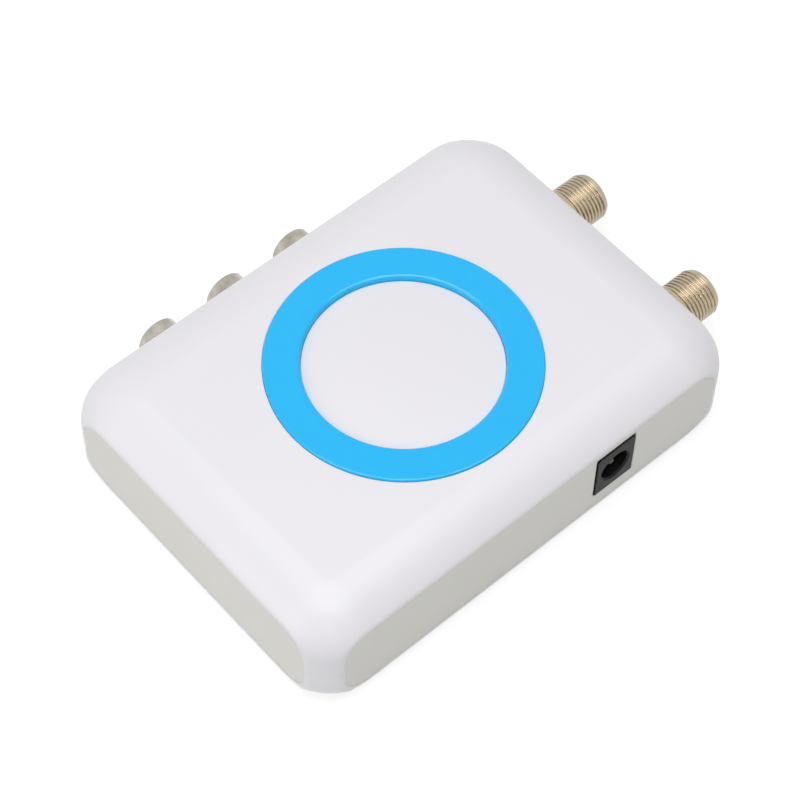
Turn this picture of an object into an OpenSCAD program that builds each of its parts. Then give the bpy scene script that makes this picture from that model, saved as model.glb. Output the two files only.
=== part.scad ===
// Signal modulator: picture and sound jacks in, aerial jacks out, in a rounded desktop case.
// X runs along the case towards the aerial jacks, Y towards the picture and sound jacks, Z up.
// The origin is the middle of the case's underside.

/* [Case] */
// Length of the case along its long sides
case_len = 100; // [96:1:116]
// Width of the case
case_wid = 73.6; // [72:0.2:84]
// Height of the case
case_ht = 22.2; // [21.4:0.2:26]
// Radius of the four upright corners
corner_r = 13; // [12:0.5:14]
// Height taken up by the rounding of the top
top_round_ht = 8.8; // [7.6:0.2:9.6]
// Radius left in the corners at the edge of the flat roof
roof_corner_r = 0.6; // [0.3:0.1:2]
// Radius of the rounding around the base
base_round_r = 5; // [4:0.2:5.6]
// Thickness of the side walls
wall = 2.5; // [2.3:0.1:2.8]
// Thickness of the roof
roof = 2.2; // [2:0.1:2.6]
// Thickness of the floor
floor_t = 2; // [1.6:0.1:2.4]
// Height of the joint line between the two covers
joint_z = 9.4; // [8:0.2:11]

/* [Side panels] */
// Depth of a panel's face behind the widest line of the case
panel_recess = 1.9; // [1.4:0.1:2]
// Height of the windows' lower edge
window_low_z = 1.8; // [1.7:0.1:3.2]
// Height of the windows' upper edge over the power jack
window_over_jack = 1.4; // [0.8:0.1:1.5]
// Distance that a window runs into the corner rounding
window_into_corner = 6.25; // [5:0.25:6.5]
// Thickness of the rim behind a panel
panel_rim_t = 1.2; // [0.9:0.1:1.4]
// Width by which the rim passes the window's ends
panel_rim_w = 0.8; // [0.6:0.05:0.8]
// Height by which the rim passes the window's upper and lower edges, where the covers are thin
panel_rim_ht = 0.25; // [0.15:0.05:0.3]
// Radius of the windows' corners
window_corner_r = 5.4; // [4.6:0.1:5.8]

/* [Light ring] */
// Outer radius of the ring
ring_outer_r = 24.7; // [23:0.1:26]
// Inner radius of the ring
ring_inner_r = 18.05; // [16.5:0.05:19]
// Height by which the ring stands over the roof
ring_proud = 0.4; // [0.2:0.1:0.8]
// Depth of the ring's seat in the roof
ring_seat_depth = 1.4; // [1:0.1:1.6]
// Drop of the middle disc's edge below the roof
disc_drop = 0.7; // [0.3:0.1:1]
// Rise of the middle disc's dome
disc_rise = 0.4; // [0.1:0.1:0.6]
// Width of the bevels on the ring's edges
ring_bevel = 0.35; // [0.2:0.05:0.5]
// Radius of the ring's light legs
leg_r = 2; // [1.6:0.1:2.3]

/* [Circuit board] */
// Gap between the board's edge and the inside of the walls
board_gap = 2.5; // [2.2:0.1:3]
// Thickness of the board
board_t = 1.6; // [1.2:0.2:1.8]
// Height of the board's underside over the floor
board_rise = 1.9; // [1.7:0.1:2.1]
// Radius of the board's corners
board_corner_r = 8; // [6:0.5:9]

/* [Aerial jacks] */
// Distance by which the jacks' ends stand out of the panel
aerial_out = 9.95; // [8.9:0.05:13]
// Distance of one jack's axis from the back of the case
aerial_back_in = 24.8; // [20:0.2:27]
// Distance of the other jack's axis from the front of the case
aerial_front_in = 19.4; // [19.2:0.2:26]
// Height of the jacks' axes over the board
aerial_axis_rise = 4.5; // [4.4:0.1:5]
// Outer radius of the jacks' thread
thread_r = 4.76; // [4.6:0.02:4.9]
// Pitch of the thread
thread_pitch = 0.794; // [0.7:0.002:0.9]
// Length of the plain shoulder outside the panel
shoulder_len = 2.5; // [2:0.1:3]
// Radius of the plain shoulder
shoulder_r = 5.2; // [5:0.05:5.3]

/* [Picture and sound jacks] */
// Distance by which the barrels' ends stand out of the panel
barrel_out = 4.85; // [4.1:0.05:8.5]
// Outer radius of a barrel
barrel_r = 4.15; // [4.1:0.01:4.2]
// Distance between neighbouring barrels
barrel_pitch = 15.6; // [14:0.1:16]
// Place of the middle barrel along the case
barrel_mid_x = -8.9; // [-11:0.1:-8]
// Thickness of a jack's block under its barrel
barrel_floor_t = 0.35; // [0.3:0.05:1.2]

/* [Power jack] */
// Place of the power jack along the case
power_x = 18.8; // [15:0.2:21]
// Width of the power jack
power_wid = 9; // [8.8:0.1:9.4]
// Height of the power jack
power_ht = 11; // [10.4:0.1:11.1]
// Length of the power jack
power_len = 14.2; // [13:0.1:14.6]
// Radius of the socket in the power jack
socket_r = 3.15; // [3:0.05:3.3]
// Radius of the power jack's centre pin
power_pin_r = 1; // [0.9:0.05:1.25]

/* [Channel switch] */
// Place of the switch along the case
switch_x = 25; // [23:0.5:26]
// Distance that the knob slides
switch_travel = 2; // [1.4:0.1:2.2]
// Width of the knob
knob_wid = 2; // [1.6:0.1:2.2]

/* [Hidden] */
$fn = 64;
over = 1;
gap = 0.05;
base_steps = 6;
top_steps = 10;

// Places that follow from the case
board_low = floor_t + board_rise;
board_top = board_low + board_t;
board_len = case_len - 2 * wall - 2 * board_gap;
board_wid = case_wid - 2 * wall - 2 * board_gap;
board_edge_in = 0.2;
top_round_in = corner_r - roof_corner_r;
window_high_z = board_top + power_ht + window_over_jack;
long_window = case_len / 2 - corner_r + window_into_corner;
end_window = case_wid / 2 - corner_r + window_into_corner;
ring_mid_r = (ring_outer_r + ring_inner_r) / 2;
ring_seat_z = case_ht - ring_seat_depth;
panel_face_y = case_wid / 2 - panel_recess;
panel_face_x = case_len / 2 - panel_recess;
seat_y = case_wid / 2 - wall;
seat_x = case_len / 2 - wall;

// Screw posts
post_r = 3.2;
post_in_x = 9.7;
post_in_y = 9.7;
post_x = case_len / 2 - post_in_x;
post_y = case_wid / 2 - post_in_y;
rest_x = post_x / 2;
screw_r = 1.5;
screw_gap = 0.03;
screw_head_r = 2.75;
screw_head_t = 1.7;
screw_head_sunk = 0.2;
screw_depth = 8;
cross_wid = 0.7;
cross_depth = 0.9;
head_pocket_gap = 0.15;

// Light diodes under the ring's legs
diode_angles = [30, 150, 270];
diode_r = 1.5;
diode_collar_r = 1.75;
diode_collar_t = 1;
diode_stand = 1.2;
diode_ht = 5.3;
diode_lead_r = 0.25;
diode_lead_pitch = 1.7;
diode_gap = 0.4;
leg_low = board_top + diode_stand + diode_ht + diode_gap;

// Leads that pass through the board
lead_r = 0.5;
lead_gap = 0.1;
lead_below = 1;
lead_low = board_low - lead_below;

// Aerial jack
aerial_z = board_top + aerial_axis_rise;
aerial_back_y = case_wid / 2 - aerial_back_in;
aerial_front_y = aerial_front_in - case_wid / 2;
block_wid = 9.2;
block_ht = 9.4;
block_len = 8.7;
thread_depth = 0.42;
crest_share = 0.3;
lead_in_r = 4.35;
lead_in_len = 0.7;
aerial_bore_r = 3.3;
aerial_insulator_sunk = 0.6;
contact_r = 0.9;
contact_bore_r = 0.55;
contact_sunk = 3;
contact_end_gap = 0.5;
entry_r = 1.2;
contact_tail_in = 1.2;
block_leg_in = 1.4;
block_front_x = board_len / 2 + board_edge_in;
block_back_x = block_front_x - block_len;
aerial_reach = panel_face_x + aerial_out;
shoulder_front_x = panel_face_x + shoulder_len;
thread_end_x = aerial_reach - lead_in_len;
thread_turns = floor((thread_end_x - shoulder_front_x) / thread_pitch);
tail_x = block_back_x - contact_tail_in;

// Picture and sound jack
barrel_z = board_top + barrel_floor_t + barrel_r;
barrel_wall = 0.7;
barrel_round = 0.4;
barrel_seat = 2;
barrel_foot_cut = 0.4;
spigot_step = 0.3;
jack_block_front = board_wid / 2 - board_edge_in;
barrel_reach = panel_face_y + barrel_out;
jack_block_depth = 8;
jack_block_side = 1.05;
jack_block_roof_t = 0.95;
jack_block_ht = barrel_floor_t + 2 * barrel_r + jack_block_roof_t;
core_sunk = 0.5;
sleeve_bore_r = 1.63;
sleeve_wall = 0.4;
sleeve_r = sleeve_bore_r + sleeve_wall;
sleeve_sunk = 1.6;
core_entry_r = 1.85;
plug_hole_r = 6;
jack_lead_in = 2;

// Power jack
power_out = 0.2;
power_opening_gap = 0.15;
power_chamfer = 0.6;
socket_depth = 10;
power_pin_sunk = 1;
power_pin_tip = 0.5;
power_root_step = 0.2;
spring_wid = 2;
spring_t = 0.4;
spring_len = 7;
power_front = panel_face_y + power_out;
power_z = board_top + power_ht / 2;

// Channel switch
frame_len = 8.6;
frame_depth = 4.6;
frame_ht = 4.6;
frame_t = 0.4;
frame_front = board_wid / 2 - board_edge_in;
carriage_len = 4;
carriage_depth = 1.6;
carriage_ht = 2.4;
knob_ht = 1.8;
knob_out = 1.2;
slide_gap = 0.2;
slot_gap = 0.3;
knob_z = board_top + frame_ht / 2;
base_front = frame_front - frame_t - 2 * slide_gap - carriage_depth;

// Shield can
can_len = 26;
can_wid = 24;
can_ht = 10.5;
can_t = 0.4;
lid_skirt = 2.5;
vent_r = 1;
vent_pitch = 5;

// Parts on the board
chip_len = 9.9;
chip_wid = 3.9;
chip_ht = 1.5;
chip_stand = 0.2;
chip_legs = 8;
chip_leg_pitch = 1.27;
chip_leg_wid = 0.42;
chip_leg_t = 0.25;
chip_leg_out = 1.05;
crystal_len = 11;
crystal_wid = 4.6;
crystal_ht = 3.4;
crystal_brim = 0.4;
regulator_len = 6.5;
regulator_wid = 3.5;
regulator_ht = 1.7;
regulator_tab = 1.7;
capacitor_r = 3.15;
capacitor_ht = 9;
capacitor_bead_in = 0.35;
capacitor_bead_ht = 1.1;
capacitor_bead_z = 0.9;
capacitor_lead_pitch = 2.5;
small_lead_r = 0.3;
choke_r = 3;
choke_ht = 5;
choke_flange = 0.9;
choke_neck_r = 1.5;

// Places in the can and on the board, as shares of their lengths and widths
modulator_shares = [0, 0.2];
crystal_shares = [0, -0.2];
control_shares = [-0.3, 0.05];
regulator_shares = [0.07, -0.35];
capacitor_shares = [[-0.08, -0.41], [-0.17, -0.41], [-0.39, -0.22]];
choke_shares = [-0.4, 0.13];

function in_can(shares) = [shares.x * can_len, shares.y * can_wid];

function on_board(shares) = [shares.x * board_len, shares.y * board_wid];

capacitor_at = [for (shares = capacitor_shares) on_board(shares)];
choke_at = on_board(choke_shares);

// Outline of the case seen in section, from the middle of a corner outwards
function case_profile(r, reach_in, round_ht, base_r, low, high) = concat(
    [[0, low]],
    [for (i = [0 : base_steps]) let (a = 90 * i / base_steps)
        [r - base_r + base_r * sin(a), low + base_r - base_r * cos(a)]],
    [for (i = [0 : top_steps]) let (a = 90 * i / top_steps)
        [r - reach_in + reach_in * cos(a), high - round_ht + round_ht * sin(a)]],
    [[0, high]]);

function mirrored(points) = [for (i = [len(points) - 1 : -1 : 0]) [-points[i].x, points[i].y]];

// Rounded form: four quarter corners, two end pieces and the middle, face to face
module case_form(l, w, r, reach_in, round_ht, base_r, low, high) {
    profile = case_profile(r, reach_in, round_ht, base_r, low, high);
    half = [for (p = profile) if (p.x > 0) [p.x + w / 2 - r, p.y]];
    for (q = [[1, 1, 0], [-1, 1, 90], [-1, -1, 180], [1, -1, 270]])
        translate([q.x * (l / 2 - r), q.y * (w / 2 - r), 0])
            rotate([0, 0, q.z]) rotate_extrude(angle = 90) polygon(profile);
    for (side = [0, 1]) mirror([side, 0, 0]) translate([l / 2 - r, 0, 0])
        rotate([90, 0, 0]) linear_extrude(w - 2 * r, center = true) polygon(profile);
    rotate([90, 0, 90]) linear_extrude(l - 2 * r, center = true) polygon(concat(half, mirrored(half)));
}

module case_outside() {
    case_form(case_len, case_wid, corner_r, top_round_in, top_round_ht, base_round_r, 0, case_ht);
}

module case_inside() {
    case_form(case_len - 2 * wall, case_wid - 2 * wall, corner_r - wall, top_round_in - wall,
        top_round_ht - roof, base_round_r - wall, floor_t, case_ht - roof);
}

// Box given by its middle in x, its ends in y and its ends in z
module slab(half_x, y0, y1, z0, z1) {
    translate([-half_x, y0, z0]) cube([2 * half_x, y1 - y0, z1 - z0]);
}

// The same box with its four corners rounded, as seen along y
module round_slab(half_x, y0, y1, z0, z1, r) {
    translate([0, y1, 0]) rotate([90, 0, 0]) linear_extrude(y1 - y0) union() {
        translate([r - half_x, z0]) square([2 * (half_x - r), z1 - z0]);
        translate([-half_x, z0 + r]) square([2 * half_x, z1 - z0 - 2 * r]);
        for (x = [r - half_x, half_x - r], z = [z0 + r, z1 - r]) translate([x, z]) circle(r = r);
    }
}

// The window and the groove for the panel's rim, on the side that faces -Y
module window_cut(half_len, out_y, wall_y) {
    r = window_corner_r;
    round_slab(half_len, -out_y - over, -wall_y + panel_rim_t / 2, window_low_z, window_high_z, r);
    round_slab(half_len + panel_rim_w + gap, -wall_y, -wall_y + panel_rim_t + gap,
        window_low_z - panel_rim_ht, window_high_z + panel_rim_ht + gap, r + panel_rim_w);
}

module window_cuts() {
    for (turn = [0, 180]) rotate([0, 0, turn]) window_cut(long_window, case_wid / 2, seat_y);
    for (turn = [90, 270]) rotate([0, 0, turn]) window_cut(end_window, case_len / 2, seat_x);
}

module panel_blank(half_len, face_y, wall_y) {
    r = window_corner_r;
    round_slab(half_len - gap, -face_y, -wall_y + panel_rim_t / 2, window_low_z, window_high_z - gap, r);
    round_slab(half_len + panel_rim_w, -wall_y, -wall_y + panel_rim_t,
        window_low_z - panel_rim_ht, window_high_z + panel_rim_ht, r + panel_rim_w);
}

module at_posts() {
    for (sx = [-1, 1], sy = [-1, 1]) translate([sx * post_x, sy * post_y, 0]) children();
}

module at_diodes() {
    for (a = diode_angles) rotate([0, 0, a]) translate([ring_mid_r, 0, 0]) children();
}

// Room above the domed disc inside the ring
module disc_room() {
    edge = case_ht - disc_drop;
    r = ring_inner_r;
    rotate_extrude() polygon(concat(
        [[0, case_ht + over], [r, case_ht + over]],
        [for (i = [0 : top_steps]) let (x = r * (1 - i / top_steps))
            [x, edge + disc_rise * (1 - (x / r) * (x / r))]]));
}

// Room around the power jack
module power_opening(y0, y1) {
    translate([power_x, 0, 0]) slab(power_wid / 2 + power_opening_gap, y0, y1,
        board_top - power_opening_gap, board_top + power_ht + power_opening_gap);
}

module top_cover() {
    color("white") difference() {
        union() {
            difference() {
                intersection() {
                    case_outside();
                    slab(case_len, -case_wid, case_wid, joint_z, case_ht + over);
                }
                difference() {
                    case_inside();
                    at_posts() translate([0, 0, board_top]) cylinder(h = case_ht, r = post_r);
                }
            }
            at_posts() translate([0, 0, board_top]) cylinder(h = joint_z - board_top + roof, r = post_r);
        }
        window_cuts();
        disc_room();
        translate([0, 0, ring_seat_z]) difference() {
            cylinder(h = ring_seat_depth + over, r = ring_outer_r + gap);
            translate([0, 0, -over]) cylinder(h = ring_seat_depth + 3 * over, r = ring_inner_r - gap);
        }
        at_diodes() translate([0, 0, case_ht - roof - over]) cylinder(h = roof + over, r = leg_r + gap);
        at_posts() translate([0, 0, board_top - over])
            cylinder(h = screw_depth + 2 * over, r = screw_r + screw_gap);
        power_opening(-case_wid, power_len - power_front + gap);
    }
}

module bottom_cover() {
    color("whitesmoke") difference() {
        union() {
            difference() {
                intersection() {
                    case_outside();
                    slab(case_len, -case_wid, case_wid, -over, joint_z);
                }
                case_inside();
            }
            at_posts() translate([0, 0, floor_t / 2]) cylinder(h = board_low - floor_t / 2, r = post_r);
            for (sx = [-1, 1]) translate([sx * rest_x, 0, floor_t / 2])
                cylinder(h = board_low - floor_t / 2, r = post_r);
        }
        window_cuts();
        at_posts() {
            translate([0, 0, -over]) cylinder(h = board_low + 2 * over, r = screw_r + 2 * lead_gap);
            translate([0, 0, -over])
                cylinder(h = over + screw_head_sunk + screw_head_t, r = screw_head_r + head_pocket_gap);
        }
    }
}

module front_panel() {
    color("gainsboro") difference() {
        panel_blank(long_window, panel_face_y, seat_y);
        power_opening(-case_wid, -seat_y + panel_rim_t + over);
    }
}

module back_panel() {
    color("gainsboro") difference() {
        rotate([0, 0, 180]) panel_blank(long_window, panel_face_y, seat_y);
        for (i = [-1, 0, 1])
            translate([barrel_mid_x + i * barrel_pitch, seat_y - panel_rim_t - over, barrel_z])
                rotate([-90, 0, 0]) cylinder(h = wall + panel_rim_t + 2 * over, r = plug_hole_r);
        translate([switch_x, 0, 0])
            slab((knob_wid + switch_travel) / 2 + slot_gap, seat_y - panel_rim_t - over,
                panel_face_y + over, knob_z - knob_ht / 2 - slot_gap, knob_z + knob_ht / 2 + slot_gap);
    }
}

module left_panel() {
    color("gainsboro") rotate([0, 0, 270]) panel_blank(end_window, panel_face_x, seat_x);
}

module right_panel() {
    color("gainsboro") difference() {
        rotate([0, 0, 90]) panel_blank(end_window, panel_face_x, seat_x);
        for (y = [aerial_back_y, aerial_front_y])
            translate([seat_x - panel_rim_t - over, y, aerial_z]) rotate([0, 90, 0])
                cylinder(h = wall + panel_rim_t + 2 * over, r = shoulder_r + 2 * gap);
    }
}

module light_ring() {
    top = case_ht + ring_proud;
    color("deepskyblue") {
        rotate_extrude() polygon([
            [ring_inner_r, ring_seat_z], [ring_outer_r, ring_seat_z],
            [ring_outer_r, top - ring_bevel], [ring_outer_r - ring_bevel, top],
            [ring_inner_r + ring_bevel, top], [ring_inner_r, top - ring_bevel]]);
        at_diodes() translate([0, 0, leg_low])
            cylinder(h = ring_seat_z - leg_low + ring_seat_depth / 2, r = leg_r);
    }
}

// Places of the through leads: [x, y, radius]
aerial_leads = [for (y = [aerial_back_y, aerial_front_y])
    each concat(
        [for (lx = [block_back_x + block_leg_in, board_len / 2 - block_leg_in], s = [-1, 1])
            [lx, y + s * (block_wid / 2 - block_leg_in), lead_r]],
        [[tail_x, y, lead_r]])];
function jack_leads(i) = [for (dy = [jack_lead_in, jack_block_depth - jack_lead_in])
    [barrel_mid_x + i * barrel_pitch, jack_block_front - dy, lead_r]];

all_jack_leads = [for (i = [-1, 0, 1]) each jack_leads(i)];
power_leads = [
    [power_x, power_len - power_front + small_lead_r, small_lead_r],
    [power_x, power_len / 2 - power_front, lead_r]];
switch_leads = [for (i = [-1, 0, 1]) [switch_x + i * switch_travel, base_front - lead_r - gap, small_lead_r]];
diode_leads = [for (a = diode_angles, s = [-1, 1])
    [ring_mid_r * cos(a) + s * diode_lead_pitch / 2, ring_mid_r * sin(a), diode_lead_r]];
capacitor_leads = [for (p = capacitor_at, s = [-1, 1])
    [p.x + s * capacitor_lead_pitch / 2, p.y, small_lead_r]];

// Round leads from above the board to below it
module leads(places) {
    for (p = places) translate([p.x, p.y, lead_low]) cylinder(h = board_top - lead_low + gap, r = p.z);
}

module circuit_board() {
    color("seagreen") difference() {
        translate([0, 0, board_low]) linear_extrude(board_t) union() {
            square([board_len - 2 * board_corner_r, board_wid], center = true);
            square([board_len, board_wid - 2 * board_corner_r], center = true);
            for (sx = [-1, 1], sy = [-1, 1])
                translate([sx * (board_len / 2 - board_corner_r), sy * (board_wid / 2 - board_corner_r)])
                    circle(r = board_corner_r);
        }
        at_posts() translate([0, 0, board_low - over])
            cylinder(h = board_t + 2 * over, r = screw_r + 2 * lead_gap);
        for (p = concat(aerial_leads, all_jack_leads, power_leads, switch_leads, diode_leads,
            capacitor_leads))
            translate([p.x, p.y, board_low - over]) cylinder(h = board_t + 2 * over, r = p.z + lead_gap);
    }
}

module light_diodes() {
    color("lightblue") for (a = diode_angles)
        translate([ring_mid_r * cos(a), ring_mid_r * sin(a), board_top + diode_stand]) {
            cylinder(h = diode_collar_t, r = diode_collar_r);
            cylinder(h = diode_ht - diode_r, r = diode_r);
            translate([0, 0, diode_ht - diode_r]) sphere(r = diode_r);
            for (s = [-1, 1]) translate([s * diode_lead_pitch / 2, 0, lead_low - board_top - diode_stand])
                cylinder(h = board_top + diode_stand - lead_low + diode_collar_t / 2, r = diode_lead_r);
        }
}

module case_screws() {
    head_top = screw_head_sunk + screw_head_t;
    color("silver") at_posts() difference() {
        union() {
            translate([0, 0, screw_head_sunk]) cylinder(h = screw_head_t, r = screw_head_r);
            translate([0, 0, head_top / 2]) cylinder(h = board_top + screw_depth - head_top / 2, r = screw_r);
        }
        for (turn = [0, 90]) rotate([0, 0, turn]) slab(screw_head_r / 2 + cross_wid / 2, -cross_wid / 2,
            cross_wid / 2, screw_head_sunk - over, screw_head_sunk + cross_depth);
    }
}

// Turns a form made along Z so that its foot is at x and it points to +X
module along_x(x, y) {
    translate([x, y, aerial_z]) rotate([0, 90, 0]) children();
}

// Outside of the threaded shell, from the shoulder to its end
module aerial_outside() {
    from = shoulder_front_x - block_front_x;
    flat = thread_pitch * crest_share;
    flank = (thread_pitch - 2 * flat) / 2;
    root = thread_r - thread_depth;
    rotate_extrude() polygon(concat(
        [[0, 0], [shoulder_r, 0], [shoulder_r, from], [root, from]],
        [for (i = [0 : thread_turns - 1], p = [[0, 0], [1, 0], [1, 1], [0, 1]])
            [p.x == 1 ? thread_r : root,
             from + i * thread_pitch + (p.y == 0 ? (p.x == 0 ? flat / 2 : flat / 2 + flank)
                 : (p.x == 1 ? flat / 2 + flank + flat : thread_pitch - flat / 2))]],
        [[root, thread_end_x - block_front_x], [lead_in_r, thread_end_x - block_front_x],
         [lead_in_r, aerial_reach - block_front_x], [0, aerial_reach - block_front_x]]));
}

module aerial_shell(y) {
    full = aerial_reach - block_back_x;
    color("silver") difference() {
        union() {
            translate([block_back_x, y - block_wid / 2, board_top])
                cube([block_front_x - block_back_x, block_wid, block_ht]);
            along_x(block_front_x, y) aerial_outside();
            leads([for (p = aerial_leads) if (abs(p.y - y) < block_wid / 2 && p.x > block_back_x) p]);
        }
        along_x(block_back_x, y) translate([0, 0, -over]) cylinder(h = full + 2 * over, r = aerial_bore_r);
    }
}

module aerial_insulator(y) {
    long = aerial_reach - aerial_insulator_sunk - block_back_x;
    color("ivory") along_x(block_back_x, y) difference() {
        cylinder(h = long, r = aerial_bore_r - gap);
        translate([0, 0, -over]) cylinder(h = long - contact_sunk + 2 * over, r = contact_r + gap);
        translate([0, 0, long - contact_sunk + gap]) cylinder(h = contact_sunk + over, r = entry_r);
    }
}

module aerial_contact(y) {
    long = aerial_reach - aerial_insulator_sunk - contact_sunk - contact_end_gap - tail_x;
    color("goldenrod") {
        along_x(tail_x, y) difference() {
            cylinder(h = long, r = contact_r);
            translate([0, 0, long / 2]) cylinder(h = long, r = contact_bore_r);
        }
        translate([tail_x, y, lead_low]) cylinder(h = aerial_z - lead_low, r = lead_r);
    }
}

module aerial_shell_back() { aerial_shell(aerial_back_y); }
module aerial_shell_front() { aerial_shell(aerial_front_y); }
module aerial_insulator_back() { aerial_insulator(aerial_back_y); }
module aerial_insulator_front() { aerial_insulator(aerial_front_y); }
module aerial_contact_back() { aerial_contact(aerial_back_y); }
module aerial_contact_front() { aerial_contact(aerial_front_y); }

// Turns a form made along Z so that its foot is at y and it points to +Y
module along_y(i, y) {
    translate([barrel_mid_x + i * barrel_pitch, y, barrel_z]) rotate([-90, 0, 0]) children();
}

barrel_foot = jack_block_front - barrel_seat;
core_r = barrel_r - barrel_wall - gap;

module jack_block(i) {
    color("dimgray") difference() {
        union() {
            translate([barrel_mid_x + i * barrel_pitch, 0, 0])
                slab(barrel_r + jack_block_side, jack_block_front - jack_block_depth,
                    jack_block_front, board_top, board_top + jack_block_ht);
            leads(jack_leads(i));
        }
        along_y(i, barrel_foot) cylinder(h = barrel_seat + over, r = barrel_r - spigot_step + gap);
    }
}

module barrel(i) {
    long = barrel_reach - barrel_foot;
    spigot = barrel_r - spigot_step;
    lip = barrel_round;
    color("silver") along_y(i, barrel_foot) difference() {
        rotate_extrude() polygon(concat(
            [[0, 0], [spigot, 0], [spigot, barrel_seat],
                [barrel_r - barrel_foot_cut / 2, barrel_seat], [barrel_r, barrel_seat + barrel_foot_cut]],
            [for (k = [0 : base_steps]) let (a = 90 * k / base_steps)
                [barrel_r - lip + lip * cos(a), long - lip + lip * sin(a)]],
            [[0, long]]));
        translate([0, 0, -over]) cylinder(h = long + 2 * over, r = barrel_r - barrel_wall);
    }
}

module core(i, tint) {
    long = barrel_reach - core_sunk - barrel_foot;
    color(tint) along_y(i, barrel_foot) difference() {
        cylinder(h = long, r = core_r);
        translate([0, 0, -over]) cylinder(h = long - sleeve_sunk + over, r = sleeve_r + gap);
        translate([0, 0, -over]) cylinder(h = long + 2 * over, r = core_entry_r);
    }
}

module sleeve(i) {
    long = barrel_reach - core_sunk - sleeve_sunk - gap - barrel_foot;
    color("goldenrod") along_y(i, barrel_foot) difference() {
        cylinder(h = long, r = sleeve_r);
        translate([0, 0, barrel_seat / 2]) cylinder(h = long, r = sleeve_bore_r);
    }
}

module jack_block_yellow() { jack_block(-1); }
module jack_block_white() { jack_block(0); }
module jack_block_red() { jack_block(1); }
module barrel_yellow() { barrel(-1); }
module barrel_white() { barrel(0); }
module barrel_red() { barrel(1); }
module core_yellow() { core(-1, "gold"); }
module core_white() { core(0, "white"); }
module core_red() { core(1, "firebrick"); }
module sleeve_yellow() { sleeve(-1); }
module sleeve_white() { sleeve(0); }
module sleeve_red() { sleeve(1); }

// Turns a form made along Z so that its foot is at -y and it points to -Y, on the power jack's axis
module at_power(y) {
    translate([power_x, -y, power_z]) rotate([90, 0, 0]) children();
}

module power_housing() {
    c = power_chamfer;
    w = power_wid / 2;
    h = power_ht;
    color("black") difference() {
        translate([power_x, -power_front, board_top]) rotate([-90, 0, 0]) mirror([0, 1, 0])
            linear_extrude(power_len)
                polygon([[-w, 0], [w, 0], [w, h - c], [w - c, h], [c - w, h], [-w, h - c]]);
        at_power(power_front - socket_depth) cylinder(h = socket_depth + over, r = socket_r);
        at_power(power_front - power_len - over)
            cylinder(h = power_len, r = power_pin_r - power_root_step + gap);
        translate([power_x, 0, 0]) slab(spring_wid / 2 + gap, -power_front + socket_depth - spring_len - gap,
            power_len - power_front - spring_wid, board_top - over, power_z - socket_r + spring_t);
    }
}

module power_pin() {
    long = power_len - power_pin_sunk;
    root = power_pin_r - power_root_step;
    color("silver") {
        at_power(power_front - power_len) rotate_extrude() polygon([
            [0, -spring_t], [2 * power_pin_r, -spring_t], [2 * power_pin_r, 0], [root, 0],
            [root, power_len - socket_depth], [power_pin_r, power_len - socket_depth],
            [power_pin_r, long - power_pin_tip], [power_pin_r - power_pin_tip, long], [0, long]]);
        translate([power_x, power_len - power_front, 0])
            slab(power_pin_r, 0, spring_t, board_top, power_z);
        leads([power_leads[0]]);
    }
}

module power_spring() {
    top = power_z - socket_r + spring_t / 2;
    color("silver") {
        translate([power_x, 0, 0]) slab(spring_wid / 2, -power_front + socket_depth - spring_len,
            -power_front + power_len / 2 + spring_t, top - spring_t, top);
        translate([power_x, power_len / 2 - power_front, lead_low])
            cylinder(h = top - lead_low - spring_t / 2, r = lead_r);
    }
}

module switch_frame() {
    color("lightgray") translate([switch_x, 0, 0]) difference() {
        slab(frame_len / 2, frame_front - frame_depth, frame_front, board_top, board_top + frame_ht);
        slab(frame_len / 2 - frame_t, frame_front - frame_depth - over, frame_front - frame_t,
            board_top - over, board_top + frame_ht - frame_t);
        slab((knob_wid + switch_travel) / 2 + slide_gap, frame_front - frame_t - over,
            frame_front + over, knob_z - knob_ht / 2 - slide_gap, knob_z + knob_ht / 2 + slide_gap);
    }
}

module switch_base() {
    color("saddlebrown") {
        translate([switch_x, 0, 0]) slab(frame_len / 2 - frame_t - gap, frame_front - frame_depth,
            base_front, board_top, board_top + frame_ht - frame_t - gap);
        leads(switch_leads);
    }
}

module switch_knob() {
    back = base_front + slide_gap;
    color("black") translate([switch_x - switch_travel / 2, 0, 0]) {
        slab(carriage_len / 2, back, back + carriage_depth,
            knob_z - carriage_ht / 2, knob_z + carriage_ht / 2);
        slab(knob_wid / 2, back + carriage_depth / 2, panel_face_y + knob_out,
            knob_z - knob_ht / 2, knob_z + knob_ht / 2);
    }
}

module shield_frame() {
    inside = can_wid / 2 - can_t;
    color("lightsteelblue") difference() {
        slab(can_len / 2, -can_wid / 2, can_wid / 2, board_top, board_top + can_ht - can_t - gap);
        slab(can_len / 2 - can_t, -inside, inside, board_top - over, board_top + can_ht + over);
    }
}

module shield_lid() {
    inside = can_wid / 2 + gap;
    outside = inside + can_t;
    low = board_top + can_ht - can_t;
    color("lightsteelblue") difference() {
        slab(can_len / 2 + gap + can_t, -outside, outside, low - lid_skirt, low + can_t);
        slab(can_len / 2 + gap, -inside, inside, low - lid_skirt - over, low);
        for (i = [-1, 0, 1], j = [-1, 0, 1]) translate([i * vent_pitch, j * vent_pitch, low - over])
            cylinder(h = can_t + 2 * over, r = vent_r);
    }
}

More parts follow.
